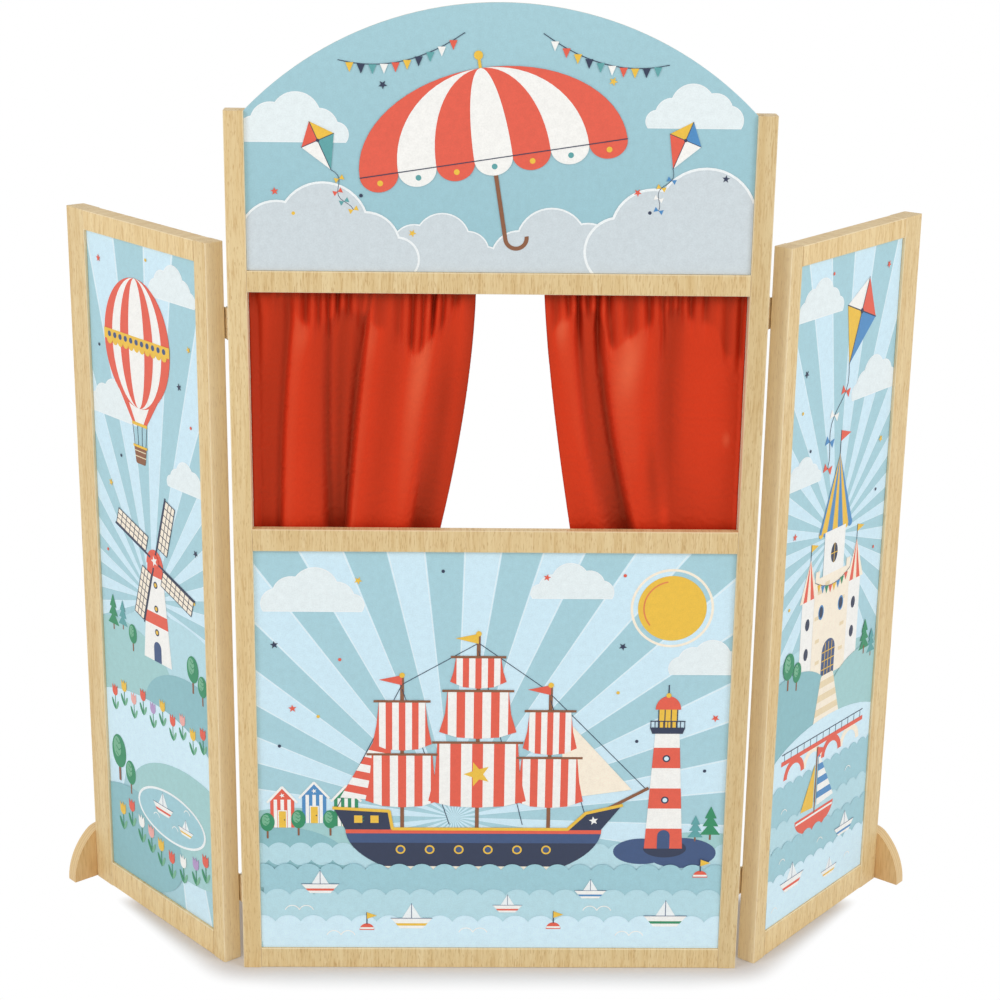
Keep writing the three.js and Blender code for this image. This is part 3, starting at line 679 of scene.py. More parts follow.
def airBalloon():
    for x in (-12, -4, 4, 12):
        strip("navy", 0, 1, (x * 1.5, -84), (x, -128))
    patch("red", 0, (-46, -60), (-15, -100), (15, -100), (46, -60))
    patch("white", 1, (-28, -66), (-8, -100), (8, -100), (28, -66))
    for number, (wide, ink) in enumerate(((72, "red"), (54, "white"), (36, "red"), (17, "white"))):
        disc(ink, 1 + number, 0, 0, wide, 80, sides=56)
    strip("yellow", 5, 13, (-70, 2), (70, 2))
    for number in range(11):
        disc("deepBlue", 6, -60 + number * 12, 2, 3.6, sides=18)
        trim(disc("yellow", 5, -60 + number * 12, -4.4, 6, sides=20), (0, -4.4), (0, 1))
    strip("yellow", 2, 4, (-16, -100), (16, -100))
    patch("brown", 1, (-14, -128), (-10, -150), (10, -150), (14, -128), soft=2)
    for y in (-134, -141):
        strip("sand", 2, 1.3, (-12, y), (12, y))
    strip("yellow", 2, 3, (-15, -128), (15, -128))


def archedDoor(layer, half, high, sides=24):
    oblong("deepBlue", layer, -half, 0, half, high)
    trim(disc("deepBlue", layer, 0, high, half, sides=sides), (0, high), (0, -1))


def windmill():
    body = patch("white", 0, (-30, 0), (30, 0), (16, 122), (-16, 122))
    bands(body, ("white", "white", "white", "red"), 15.5, turn=90)
    trim(disc("red", 1, 0, 122, 18, 20), (0, 122), (0, -1))
    archedDoor(1, 8, 18)
    for y in (38, 68, 98):
        disc("navy", 1, 0, y, 4.4, sides=24)
        disc("yellow", 2, 0, y, 2.6, sides=20)
    bm = page["sheet"]
    before = set(bm.verts)
    strip("navy", 2, 2.6, (0, 0), (0, 88))
    oblong("cream", 2, 2, 20, 22, 86)
    for x in (2, 8.7, 15.4, 22):
        strip("navy", 3, 1.1, (x, 20), (x, 86))
    for number in range(8):
        strip("navy", 3, 1.1, (2, 20 + number * 9.43), (22, 20 + number * 9.43))
    blade = withCorners([face for face in bm.faces if face.verts[0] not in before])
    hub = Vector((0, 128, 0))
    place = Matrix.Translation(hub) @ Matrix.Rotation(math.radians(-18), 4, "Z")
    bmesh.ops.transform(bm, matrix=place, verts=kindOf(bmesh.types.BMVert, blade))
    for number in (1, 2, 3):
        copy = kindOf(bmesh.types.BMVert, bmesh.ops.duplicate(bm, geom=blade)["geom"])
        bmesh.ops.rotate(bm, verts=copy, cent=hub, matrix=Matrix.Rotation(math.radians(90 * number), 3, "Z"))
    disc("red", 5, 0, 128, 9, sides=28)
    star("white", 6, 0, 128, 7, turn=18)


def beachHut(ink="blue"):
    bands(oblong(ink, 0, -17, 0, 17, 44), (ink, "white"), 4.86, start=-17)
    patch(ink, 0, (-17, 43.5), (17, 43.5), (0, 62))
    strip("white", 1, 3.4, (-21, 39), (0, 63), (21, 39))
    oblong("white", 1, -6.5, 0, 6.5, 27)
    oblong("yellow", 2, -5, 0, 5, 25.5)
    disc("navy", 3, 3, 12, 1, sides=12)
    star("white", 2, 0, 50, 4, turn=18)


def lighthouse():
    for ink, *rock in (("deepBlue", -26, -4, 34, 17), ("deepBlue", 22, -6, 42, 20), ("navy", 2, 0, 26, 12)):
        disc(ink, 0, *rock)
    tower = patch("white", 1, (-23, 0), (23, 0), (14, 158), (-14, 158))
    bands(tower, ("red", "white"), 26.4, turn=90)
    patch("navy", 2, (-21, 158), (21, 158), (18, 150), (-18, 150))
    for number in range(9):
        strip("navy", 2, 1, (-20 + number * 5, 158), (-20 + number * 5, 166))
    strip("navy", 2, 1.3, (-20.5, 166), (20.5, 166))
    oblong("yellow", 1, -11, 158, 11, 182)
    for x in (-11, -3.7, 3.7, 11):
        strip("navy", 2, 1.2, (x, 158), (x, 182))
    trim(disc("red", 2, 0, 181, 15, 17, sides=32), (0, 181), (0, -1))
    strip("navy", 3, 1.4, (0, 197), (0, 212))
    disc("yellow", 3, 0, 199, 3, sides=18)
    archedDoor(2, 7.5, 17)
    for y in (64, 118):
        disc("navy", 2, 0, y, 4.6, sides=24)
        disc("mist", 3, 0, y, 2.8, sides=20)


def ship():
    for x, top in ((-88, 238), (4, 292), (92, 226)):
        strip("brown", 0, 4.6, (x, 30), (x, top))
        patch("yellow" if x == 4 else "red", 1, (x, top), (x, top - 13), (x - 28, top - 6))
        disc("yellow", 2, x, top, 3.4, sides=18)
    for a, b, c, d in ((-88, 226, -168, 62), (4, 280, -88, 226), (4, 280, 92, 216), (92, 214, 212, 88),
                       (4, 270, 60, 40), (-88, 220, -30, 40), (92, 206, 140, 44)):
        strip("navy", 0, 0.9, (a, b), (c, d))
    patch("cream", 1, (102, 192), (113, 76), (194, 88))
    bands(patch("white", 1, (-98, 196), (-164, 76), (-106, 72)), ("white", "red"), 10, turn=78)
    sails = ((-88, 66, 134, 45, 37), (-88, 142, 204, 36, 28), (4, 66, 150, 60, 49), (4, 158, 218, 47, 37),
             (4, 224, 262, 34, 27), (92, 66, 130, 42, 34), (92, 137, 192, 33, 25))
    for x, low, high, wide, narrow in sails:
        outline = ((-wide, low + 6), (wide * -0.55, low - 1), (0, low - 3), (wide * 0.55, low - 1),
                   (wide, low + 6), (narrow + 3, (low + high) / 2), (narrow, high), (-narrow, high),
                   (-narrow - 3, (low + high) / 2))
        sail = patch("white", 2, *((x + across, y) for across, y in outline))
        bands(sail, ("red", "white"), 2 * wide / 9, start=x - wide)
        strip("brown", 3, 3, (x - narrow - 6, high), (x + narrow + 6, high))
    star("yellow", 4, 4, 108, 17, turn=18)
    hull = trim(disc("navy", 3, 0, 34, 158, 72, sides=72), (0, 34), (0, 1))
    bands(hull, ("deepBlue", "deepBlue", "red", "cream", "navy", "navy", "navy", "navy", "navy"), 6.4,
          turn=90, start=15)
    patch("navy", 3, (-158, 33), (-100, 33), (-104, 58), (-172, 62))
    patch("navy", 3, (116, 33), (157, 33), (182, 66), (140, 56))
    strip("brown", 2, 4, (140, 48), (214, 90))
    strip("yellow", 4, 4, (-173, 62), (-104, 58), (-100, 34), (116, 34), (138, 56), (183, 67))
    for x in (-142, -122):
        oblong("yellow", 4, x - 5, 42, x + 5, 52)
    for number in range(6):
        disc("yellow", 5, -90 + number * 36, 6, 6, sides=26)
        disc("deepBlue", 6, -90 + number * 36, 6, 4, sides=24)
    star("white", 5, 148, 46, 6, turn=10)


def castle():
    for x in (-56, 56):
        oblong("white", 0, x - 15, 0, x + 15, 118)
        roof = patch("red", 1, (x - 21, 116), (x + 21, 116), (x, 170))
        wedges(roof, ("red", "cream"), x, 170, 9, start=4.5)
        strip("navy", 0, 1.4, (x, 168), (x, 190))
        patch("yellow", 1, (x, 190), (x, 180), (x + 17, 185))
        for y in (84, 44):
            disc("navy", 2, x, y, 5, 8, sides=24)
    oblong("cream", 1, -42, 0, 42, 140)
    for number in range(5):
        x = -42 + number * 18.6
        oblong("cream", 1, x, 139, x + 9.6, 150)
    for x, y in ((-30, 118), (-12, 126), (18, 121), (28, 96), (-34, 84), (30, 60), (-30, 52), (-27, 22),
                 (30, 26)):
        oblong("sand", 2, x - 5, y, x + 5, y + 5)
    oblong("white", 2, -25, 140, 25, 200)
    roof = patch("blue", 3, (-40, 198), (40, 198), (0, 296))
    wedges(roof, ("blue", "yellow"), 0, 296, 7.4, start=3.7)
    for number in range(8):
        disc(("yellow", "blue")[number % 2], 2, -35 + number * 10, 198, 5.4, sides=24)
    strip("navy", 0, 1.6, (0, 292), (0, 326))
    patch("red", 1, (0, 326), (0, 312), (24, 319))
    disc("navy", 3, 0, 166, 8, 13, sides=28)
    strip("yellow", 4, 1.2, (0, 153), (0, 179))
    strip("yellow", 4, 1.2, (-8, 166), (8, 166))
    archedDoor(2, 16, 34, sides=30)
    for x in (-8, 0, 8):
        strip("yellow", 3, 1.2, (x, 0), (x, 46))
    for y in (10, 22, 34):
        strip("yellow", 3, 1.2, (-15, y), (15, y))
    for x in (-24, 24):
        disc("blue", 2, x, 92, 6.5, 10, sides=26)
        disc("navy", 3, x, 92, 4.4, 7.6, sides=24)
    pennants(4, (-42, 136), (42, 136), 12, 9, ("red", "yellow", "blue", "green"))


def sprinkle(layer, *places):  # small stars and dots: x, y, size and ink
    for x, y, size, ink in places:
        if size > 3:
            star(ink, layer, x, y, size, turn=x * 7 % 72)
        else:
            disc(ink, layer, x, y, size, sides=16)


def drawHeader():
    stamp(cloud, 0, -228, 1012, 0.62)
    stamp(cloud, 0, 212, 1030, 0.55, flip=True)
    for layer, *place in ((2, -70, 876, 0.7), (4, -205, 876, 1.15), (2, 66, 868, 0.9, 0, True),
                          (4, 212, 884, 1.3)):
        stamp(cloud, layer, *place, low=-40, main="lowCloud")
    stamp(parasol, 6, -8, 988, 0.98, turn=9)
    stamp(kite, 6, -196, 1000, 0.62, turn=24, drop=80)
    stamp(kite, 6, 198, 1004, 0.6, turn=-22, a="yellow", b="blue", c="red", d="white", drop=80)
    pennants(6, (-176, 1092), (-40, 1122), 16, 11, ("red", "yellow", "navy", "teal", "white"))
    pennants(6, (44, 1122), (180, 1090), 16, 11, ("teal", "white", "red", "yellow", "navy"))
    sprinkle(6, (-128, 1066, 5, "navy"), (-246, 950, 4.5, "red"), (-112, 1040, 2, "yellow"),
             (120, 1072, 5, "yellow"), (246, 968, 4.5, "navy"), (-152, 946, 2, "navy"),
             (150, 952, 4.5, "red"), (-226, 926, 2, "yellow"), (164, 930, 2, "navy"),
             (-96, 905, 4.5, "yellow"), (112, 1048, 2, "red"))


def drawLower():
    stamp(cloud, 0, -214, 470, 0.62)
    stamp(cloud, 0, 92, 486, 0.5, flip=True)
    stamp(cloud, 0, 250, 392, 0.5)
    arc("cream", 0, 206, 468, 47, 3, 0, 360, steps=48)
    disc("yellow", 1, 206, 468, 40, sides=56)
    arc("orange", 2, 206, 468, 33, 1.6, 100, 120)
    disc("hill", 0, -236, 150, 118, 62, sides=56)
    disc("hollow", 1, -262, 140, 92, 48, sides=56)
    disc("hill", 0, 250, 138, 92, 44, sides=56)
    for x, y, ink in ((-250, 186, "red"), (-212, 192, "blue"), (-174, 188, "green")):
        stamp(beachHut, 2, x, y, 0.84, ink=ink)
    for x, y in ((-268, 172), (-231, 176), (-193, 176), (-156, 172)):
        stamp(tree, 4, x, y, 0.66)
    stamp(fir, 2, 262, 172, 0.8)
    stamp(fir, 3, 244, 170, 0.62, ink="teal")
    scallops(1, "foam", 158, -280, 280, 15)
    stamp(lighthouse, 3, 206, 160, 1.0)
    stamp(ship, 3, -22, 152, 0.97)
    scallops(10, "lake", 130, -274, 280, 16)
    scallops(12, "foam", 96, -286, 280, 17)
    scallops(14, "mist", 60, -276, 280, 18)
    for ink, *place in (("red", -206, 112, 0.95), ("blue", 120, 104, 0.8), ("green", 212, 70, 1.1),
                        ("yellow", -96, 66, 1.05), ("red", 20, 84, 0.75)):
        stamp(paperBoat, 16, *place, trimInk=ink)
    for x, y in ((-150, 50), (76, 52), (252, 122)):
        trim(disc("red", 16, x, y, 9, 9, sides=28), (x, y), (0, -1))
        strip("white", 17, 2.4, (x - 8, y + 2.5), (x + 8, y + 2.5))
        strip("navy", 16, 1.4, (x, y + 8), (x, y + 24))
        patch("yellow", 17, (x, y + 24), (x, y + 15), (x + 12, y + 19.5))
    sprinkle(4, (-256, 420, 5, "navy"), (-236, 340, 5, "red"), (-252, 292, 2, "navy"), (-180, 402, 2, "red"),
             (-158, 500, 5, "yellow"), (150, 420, 5, "navy"), (262, 330, 5, "red"), (146, 362, 2, "yellow"),
             (170, 300, 2, "navy"), (-206, 330, 2, "yellow"), (60, 505, 4.5, "red"), (-60, 512, 2, "navy"),
             (150, 508, 2, "red"), (252, 262, 2, "navy"))
    for left, y in ((-240, 74), (-30, 44), (160, 40), (-190, 40), (120, 74)):
        for x in (left, left + 17):
            arc("white", 16, x, y, 9, 1.2, 20, 140, steps=12)


def drawLeftWing():
    stamp(cloud, 0, 62, 816, 0.5)
    stamp(cloud, 0, -74, 652, 0.55)
    stamp(cloud, 0, 84, 592, 0.42, flip=True)
    stamp(airBalloon, 2, -14, 746, 0.98)
    disc("foam", 0, 40, 340, 140, 78, sides=56)
    disc("hill", 1, -70, 318, 110, 66, sides=56)
    disc("hollow", 2, 72, 292, 96, 56, sides=56)
    stamp(fir, 2, -92, 366, 0.85)
    stamp(fir, 2, -70, 372, 0.7, ink="teal")
    stamp(windmill, 2, 8, 352, 1.02)
    for place in ((84, 336, 0.95), (104, 326, 0.75), (-48, 350, 0.7)):
        stamp(tree, 4, *place)
    disc("mist", 3, -20, 232, 150, 62, sides=56)
    tulips = ((256, "red"), (268, "yellow"), (258, "pink"), (270, "red"), (260, "lilac"), (270, "yellow"),
              (258, "red"), (266, "pink"), (254, "yellow"), (262, "red"))
    for number, (y, ink) in enumerate(tulips):
        stamp(tulip, 4 + number % 2, -96 + 22 * number, y, 0.86, flower=ink)
    disc("hill", 4, 60, 150, 130, 74, sides=56)
    disc("hollow", 5, -60, 92, 110, 66, sides=56)
    disc("cloudRim", 6, 26, 150, 76, 34, sides=52)
    disc("lake", 7, 26, 150, 72, 31, sides=52)
    stamp(paperBoat, 8, 8, 160, 0.95)
    stamp(paperBoat, 8, 58, 146, 0.7, trimInk="yellow")
    for x, y in ((-8, 138), (34, 134), (62, 166)):
        arc("white", 8, x, y, 7, 1.1, 20, 140, steps=12)
    for x, y, ink in ((-88, 92, "yellow"), (-66, 104, "red"), (-44, 90, "white"), (-22, 84, "pink"),
                      (0, 74, "yellow"), (24, 66, "red"), (50, 70, "white"), (78, 78, "lilac"),
                      (100, 90, "red")):
        stamp(tulip, 8, x, y, 0.95, flower=ink)
    stamp(tree, 6, -92, 160, 1.25)
    stamp(tree, 6, -66, 150, 0.9)
    sprinkle(5, (74, 712, 5, "navy"), (-92, 836, 5, "red"), (-98, 730, 2, "navy"), (96, 668, 2, "red"),
             (-84, 560, 5, "yellow"), (98, 516, 5, "navy"), (-98, 470, 2, "red"), (92, 452, 2, "yellow"),
             (96, 760, 4.5, "yellow"), (-58, 600, 2, "navy"), (12, 850, 2, "yellow"))


def drawRightWing():
    stamp(cloud, 0, -66, 806, 0.52)
    stamp(cloud, 0, 74, 690, 0.55, flip=True)
    stamp(kite, 2, 26, 780, 1.15, turn=-20, a="white", b="red", c="yellow", d="blue", drop=110)
    stamp(cloud, 0, -84, 604, 0.42)
    disc("foam", 0, -40, 318, 140, 74, sides=56)
    disc("hill", 1, 60, 300, 112, 66, sides=56)
    stamp(castle, 2, 0, 338, 0.96)
    disc("hollow", 6, -84, 304, 92, 58, sides=56)
    disc("hill", 7, 90, 296, 90, 56, sides=56)
    stamp(tree, 8, -92, 346, 0.95)
    stamp(tree, 8, -72, 340, 0.72)
    stamp(fir, 8, 88, 340, 0.85)
    stamp(fir, 8, 106, 332, 0.68, ink="teal")
    path = patch("sand", 8, (-14, 340), (14, 340), (40, 262), (-30, 262), soft=3)
    bands(path, ("sand", "cream"), 9, turn=90)
    disc("mist", 8, 10, 222, 150, 60, sides=56)
    for number, x in enumerate((-66, -22, 22, 66)):
        arc(("red", "cream")[number % 2], 9, x, 226, 20, 8, 0, 180)
    strip("red", 10, 6, (-96, 250), (96, 250))
    for number in range(13):
        strip("navy", 10, 1.1, (-90 + number * 15, 252), (-90 + number * 15, 262))
    strip("navy", 10, 1.3, (-96, 262), (96, 262))
    scallops(10, "lake", 214, -122, 122, 13)
    scallops(12, "foam", 164, -112, 122, 14)
    stamp(sailBoat, 14, -12, 148, 1.35)
    scallops(15, "lake", 132, -122, 122, 14)
    scallops(17, "mist", 92, -114, 122, 14)
    for ink, *place in (("blue", 66, 112, 1.0), ("red", -58, 84, 1.15), ("yellow", 34, 62, 0.8)):
        stamp(paperBoat, 19, *place, trimInk=ink)
    for x, y in ((-86, 180), (66, 186), (-84, 112), (6, 108), (-96, 50), (78, 60)):
        arc("white", 19, x, y, 7, 1.1, 20, 140, steps=12)
    sprinkle(5, (-88, 736, 5, "navy"), (88, 838, 5, "red"), (-40, 846, 2, "red"), (-92, 690, 2, "yellow"),
             (96, 620, 5, "yellow"), (-94, 540, 5, "red"), (92, 556, 2, "navy"), (-70, 640, 2, "navy"),
             (-98, 450, 2, "yellow"), (96, 480, 2, "red"))


pictures = {
    "header_print": {"draw": drawHeader, "body": "centre_frame", "side": 0, "half": board["openingHalf"],
                     "low": board["headerBottom"], "high": 1160},
    "lower_print": {"draw": drawLower, "body": "centre_frame", "side": 0, "half": board["openingHalf"],
                    "low": board["lowerBottom"], "high": board["lowerTop"]},
    "left_wing_print": {"draw": drawLeftWing, "body": "left_wing", "side": -1, "half": board["wingHalf"],
                        "low": board["wingBottom"], "high": board["wingTop"]},
    "right_wing_print": {"draw": drawRightWing, "body": "right_wing", "side": 1, "half": board["wingHalf"],
                         "low": board["wingBottom"], "high": board["wingTop"]},
}

# The same satin offset print, in the ink that each shape carries
inkPrint, addToInk = newMaterial("offsetInkPrint")
finishInk(addToInk, addToInk("Attribute", attribute_name="ink").outputs["Color"])


def printPicture(name, values):
    bm = page["sheet"] = bmesh.new()
    values["draw"]()
    edge = drawing["edge"]
    cuts = [((-values["half"] + edge, 0), (-1, 0)), ((values["half"] - edge, 0), (1, 0)),
            ((0, values["low"] + edge), (0, -1)), ((0, values["high"] - edge), (0, 1))]
    if name == "header_print":  # the arch is cut out by chords, three degrees apart
        reach = board["archRadius"] - drawing["archEdge"]
        for degrees in range(-48, 49, 3):
            out = (math.sin(math.radians(degrees)), math.cos(math.radians(degrees)))
            cuts.append(((out[0] * reach, board["archCentre"] + out[1] * reach), out))
    for point, outward in cuts:
        trim(bm.faces[:], point, outward)
    bm.normal_update()
    bmesh.ops.reverse_faces(bm, faces=[face for face in bm.faces if face.normal.z < 0])
    layer = bm.loops.layers.float_color.new("ink")
    for face in bm.faces:
        colour = linearColour(inks[inkNames[face.material_index - 1]])
        for loop in face.loops:
            loop[layer] = colour
        face.material_index = 0
    if values["side"]:
        place = wingPlace(values["side"], values["side"] * board["wingMiddle"], board["wingPanelFront"])
    else:
        place = Matrix.Scale(mm, 4) @ Matrix.Translation((0, board["panelFront"], 0))
    bm.transform(place @ Matrix.Rotation(math.radians(90), 4, "X"))
    mesh = meshOf(bm, name)
    mesh.materials.append(inkPrint)
    piece = addObject(name, mesh)
    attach(piece, values["body"])
    print(name, "drawn with", len(mesh.polygons), "shapes")


for name, values in pictures.items():
    printPicture(name, values)


# Curtains
curtain = {
    "rodDepth": 6,
    "rodHeight": 849,
    "pocketRadius": 4.7,  # from the rod's middle to the middle of the cloth
    "seamBelowRod": 13,
    "seamDepth": 6.6,
    "hemHeight": 540,
    "hemTurn": 18,
    "sideHem": 6,
    "hemGap": 0.8,
    "outerEdge": 277.4,
    "nearest": 1.25,
    "farthest": 15.7,
    "gatherPitch": 15,
    "cloth": 0.4,
    "columns": 156,
    "rowPitch": 2.6,
    "frames": 22,
    "physics": {"quality": 6, "mass": 0.12, "tension_stiffness": 20, "compression_stiffness": 20,
                "shear_stiffness": 8, "bending_stiffness": 1.5, "air_damping": 2, "shrink_min": -0.015,
                "vertex_group_mass": "held"},
    "lightHold": 0.22,  # how far the hanging part is held to its place, where the pocket is held in full
    "furthestMove": 5,
    "settledRoom": 0.2,  # past the drawn folds, forward and back
    "hemRoom": 0.4,
    # the gathers at the pocket: how far they lift its cloth, swell forward, sink it at the seam and below it
    "gather": {"lift": 0.35, "forward": 0.9, "sewn": 1.6, "below": 2.2},
    # a pinch's ridge and the grooves beside it in depth, and the painted shade on its line and painted light
    # beside it: strength, distance from its line, and half the width
    "pinchDepths": ((3.8, 0, 2.6), (-1.2, 6, 3)),
    "pinchShades": ((0.4, 0, 2.2), (-0.2, 5, 2.5)),
    # foldShade and crownHighlight are the colours of the painted shade and the painted highlight
    "satin": {"body": "#DB3A1D", "slub": "#C62F15", "cloudy": "#CE3419", "foldShade": "#8A2310",
              "crownHighlight": "#F0704C", "highlight": "#FFA678", "sheen": "#FF8A60",
              "warpPitch": 1.1, "slubSize": (0.9, 5), "cloudSize": 40},
    "left": {
        "side": -1, "width": 252, "draw": 43, "drawPower": 1.7,
        # each fold line: its share of the width at the pocket and at the hem, and how deep it lies at the
        # pocket, midway and at the hem; that depth is also painted on the cloth as shade
        "folds": ((0, 0, .7, .56, .56), (.035, .03, .54, .56, .58), (.07, .05, .24, .48, .56),
                  (.11, .075, .44, .54, .56), (.158, .105, .6, .58, .58), (.196, .139, .66, .68, .68),
                  (.218, .166, .12, .18, .2), (.25, .21, .06, .14, .16), (.30, .307, .34, .36, .32),
                  (.331, .372, .45, .5, .44), (.357, .41, .66, .85, 1), (.382, .44, .46, .6, 1),
                  (.42, .47, .62, .8, 1), (.47, .48, .55, .66, 1),
                  (.53, .492, .75, .88, 1), (.556, .519, .16, .15, .18), (.579, .546, .12, .12, .18),
                  (.641, .638, .4, .42, .42), (.676, .687, .45, .38, .36), (.76, .774, .06, .02, .18),
                  (.805, .829, .02, .16, .34), (.858, .855, .2, .42, .84), (.90, .915, .22, .66, .9),
                  (.947, .965, .22, .45, .7), (1, 1, .66, .6, .5)),
        "bow": (-.026, .8),  # how far the fold lines bow on their way down, and where in the width most
        # shares at pocket and hem, how far below the rod it reaches, and strength
        "pinches": ((.393, .40, 70, .8), (.539, .50, 110, .8), (.823, .80, 60, 1), (.13, .10, 50, .5)),
        # soft glints, or shade where the last value is below 0: shares at pocket and hem, how far below the
        # rod, half the width and height, and strength
        "glints": ((.815, .74, 98, 10, 50, .24), (.27, .20, 62, 9, 18, .14), (.56, .50, 66, 8, 26, .14)),
        # how far below the rod the crowns begin
        "swellStart": (20, 16, 24, 47, 47, 30, 36, 51, 60, 80, 58, 24, 20),
    },
    "right": {
        "side": 1, "width": 227, "draw": 39, "drawPower": 1.35,
        "folds": ((0, 0, .45, .32, .32), (.063, .067, .3, .22, .34), (.157, .218, .24, .2, .4),
                  (.236, .28, .2, .24, .46), (.286, .32, .3, .3, .5), (.326, .364, .6, .5, .5),
                  (.36, .388, .66, .64, .5), (.392, .43, .5, .55, .3), (.425, .47, .32, .3, .3),
                  (.53, .53, .1, .12, .28), (.60, .56, .0, .08, .26), (.70, .588, .22, .2, .26),
                  (.732, .63, .82, .86, 1), (.772, .673, .5, .62, 1), (.795, .733, .46, .56, .8),
                  (.83, .776, .8, .58, .46), (.866, .824, .22, .16, .3), (.916, .885, .04, .16, .36),
                  (.955, .945, .2, .2, .36), (1, 1, .5, .3, .3)),
        "bow": (.038, 2),
        "pinches": ((.73, .70, 120, .9), (.678, .66, 60, .6), (.405, .39, 110, .8), (.831, .80, 90, .8),
                    (.2, .2, 50, .4)),
        "glints": ((.49, .75, 92, 13, 38, .34), (.90, 1, 48, 6, 20, .3), (.077, .077, 180, 5, 9, .3),
                   (.46, .48, 225, 8, 50, -.34), (.42, .42, 270, 6, 12, .2)),
        "swellStart": (80, 80, 44, 40, 26, 30, 47, 60, 72, 30, 30, 42, 58),
    },
}


def limited(value, low, high):
    return min(max(value, low), high)


def easeBetween(low, high, value):
    share = limited((value - low) / (high - low), 0, 1)
    return share * share * (3 - 2 * share)


def between(values, share):  # a value from evenly spaced ones
    place = share * (len(values) - 1)
    i = min(int(place), len(values) - 2)
    return values[i] + (values[i + 1] - values[i]) * easeBetween(0, 1, place - i)


def hump(off, wide):
    return math.exp(-(off / wide) ** 2)


def foldPlace(values, first, last, down):
    bow, power = values["bow"]
    return first + (last - first) * down + bow * math.sin(math.pi * down) * math.sin(math.pi * first ** power)


def foldDepth(values, across, down):  # 0 to 1: how deep the cloth lies, on a smooth line through the table
    folds = values["folds"]
    places = [foldPlace(values, line[0], line[1], down) for line in folds]
    depths = [between(line[2:], down) for line in folds]
    last = len(places) - 1
    after = next((i for i in range(1, last + 1) if across <= places[i]), last)
    slopes = []
    for i in (after - 1, after):
        low, high = max(i - 1, 0), min(i + 1, last)
        slopes.append((depths[high] - depths[low]) / (places[high] - places[low]))
    span = places[after] - places[after - 1]
    t = limited((across - places[after - 1]) / span, 0, 1)
    value = ((2 * t ** 3 - 3 * t ** 2 + 1) * depths[after - 1] + (t ** 3 - 2 * t ** 2 + t) * span * slopes[0]
             + (3 * t ** 2 - 2 * t ** 3) * depths[after] + (t ** 3 - t ** 2) * span * slopes[1])
    return limited(value, 0, 1)


# A point of the cloth, run millimetres along it from the back seam, and the shade painted on it: 1 deep in a
# fold, 0 on a crown and less under a painted glint
def hangPoint(values, across, run):
    c, g = curtain, curtain["gather"]
    rod, rodDepth, pocketRadius, seam = (
        c[key] for key in ("rodHeight", "rodDepth", "pocketRadius", "seamBelowRod"))
    over = math.pi * pocketRadius
    drop = rod - c["hemHeight"]
    # how the gathers rise and fall along the rod, at uneven distances
    ripples = values["width"] / c["gatherPitch"]
    beat = math.sin(math.tau * (across * ripples + 0.45 * math.sin(math.tau * (across * 2.3 + 0.15))))
    beat = 0.75 * beat + 0.25 * math.sin(math.tau * (across * ripples * 0.61 + 0.3))
    # painted shade on the gathers, deeper and lighter with their ripples
    shade = 0.45 - 0.2 * beat
    if run < seam:  # up behind the rod
        height = rod - (seam - run)
        behind = 1 - easeBetween(0, 1, run / seam)
        depth = rodDepth + pocketRadius + g["lift"] * beat + g["forward"] * (beat + 1)
        depth += (c["seamDepth"] + 0.6 - depth) * behind
    elif run < seam + over:  # over it
        angle = (run - seam) / pocketRadius
        radius = pocketRadius + g["lift"] * beat + g["forward"] * (beat + 1) * max(0, math.cos(angle))
        height = rod + radius * math.sin(angle)
        depth = rodDepth + radius * math.cos(angle)
    else:  # and down in front
        height = rod - (run - seam - over)
        below = rod - height
        pocket = rodDepth - pocketRadius - g["lift"] * beat
        sewn = c["seamDepth"] - g["sewn"] * beat
        top = pocket + (sewn - pocket) * easeBetween(0, seam, below)
        down = below / drop
        fold = foldDepth(values, across, down)
        # the outer edge stands forward beside the stile
        stands = min(fold, 1 - 0.85 * (1 - easeBetween(0, 0.08, across)))
        folded = c["nearest"] + (c["farthest"] - c["nearest"]) * stands
        start = between(values["swellStart"], across)
        gather = -g["below"] * beat * easeBetween(4, 24, below) * (1 - easeBetween(start, start + 30, below))
        # painted shadow of the header rail on the cloth just below it
        shade += 0.4 * (1 - easeBetween(12, 26, below))
        for first, last, reach, strength in values["pinches"]:
            off = abs((across - foldPlace(values, first, last, down)) * values["width"])
            fade = strength * easeBetween(2, 14, below) * (1 - easeBetween(reach * 0.4, reach, below))
            gather += fade * sum(part * hump(off - apart, wide) for part, apart, wide in c["pinchDepths"])
            # painted shade along the pinch and painted light beside it
            shade += fade * sum(part * hump(off - apart, wide) for part, apart, wide in c["pinchShades"])
        depth = top + (folded - top) * easeBetween(start - 14, start + 20, below) + gather
        depth = limited(depth, c["nearest"], c["farthest"])
        # the fold's depth is painted as shade, also beside the stile where the cloth stands forward
        shade += (fold - shade) * easeBetween(start - 3, start + 7, below)
        # painted glints, and painted shade where a strength is below 0
        for first, last, middle, wide, high, strength in values["glints"]:
            off = (across - foldPlace(values, first, last, down)) * values["width"]
            shade -= strength * hump(off, wide) * hump(below - middle, high)
    down = limited((rod - height) / drop, 0, 1)
    reach = values["width"] - values["draw"] * down ** values["drawPower"]
    place = Vector((values["side"] * (c["outerEdge"] - across * reach), depth, height))
    return place, limited(shade, -0.3, 1)


# A made grid's vertices, by row from the top and column from the outer edge
def gridNumbers(bm, columns, rows):
    table = [[None] * (columns + 1) for _ in range(rows + 1)]
    for vertex in bm.verts:
        column = round((vertex.co.x + 1) / 2 * columns)
        row = round((1 - vertex.co.y) / 2 * rows)
        table[row][column] = vertex
    return table


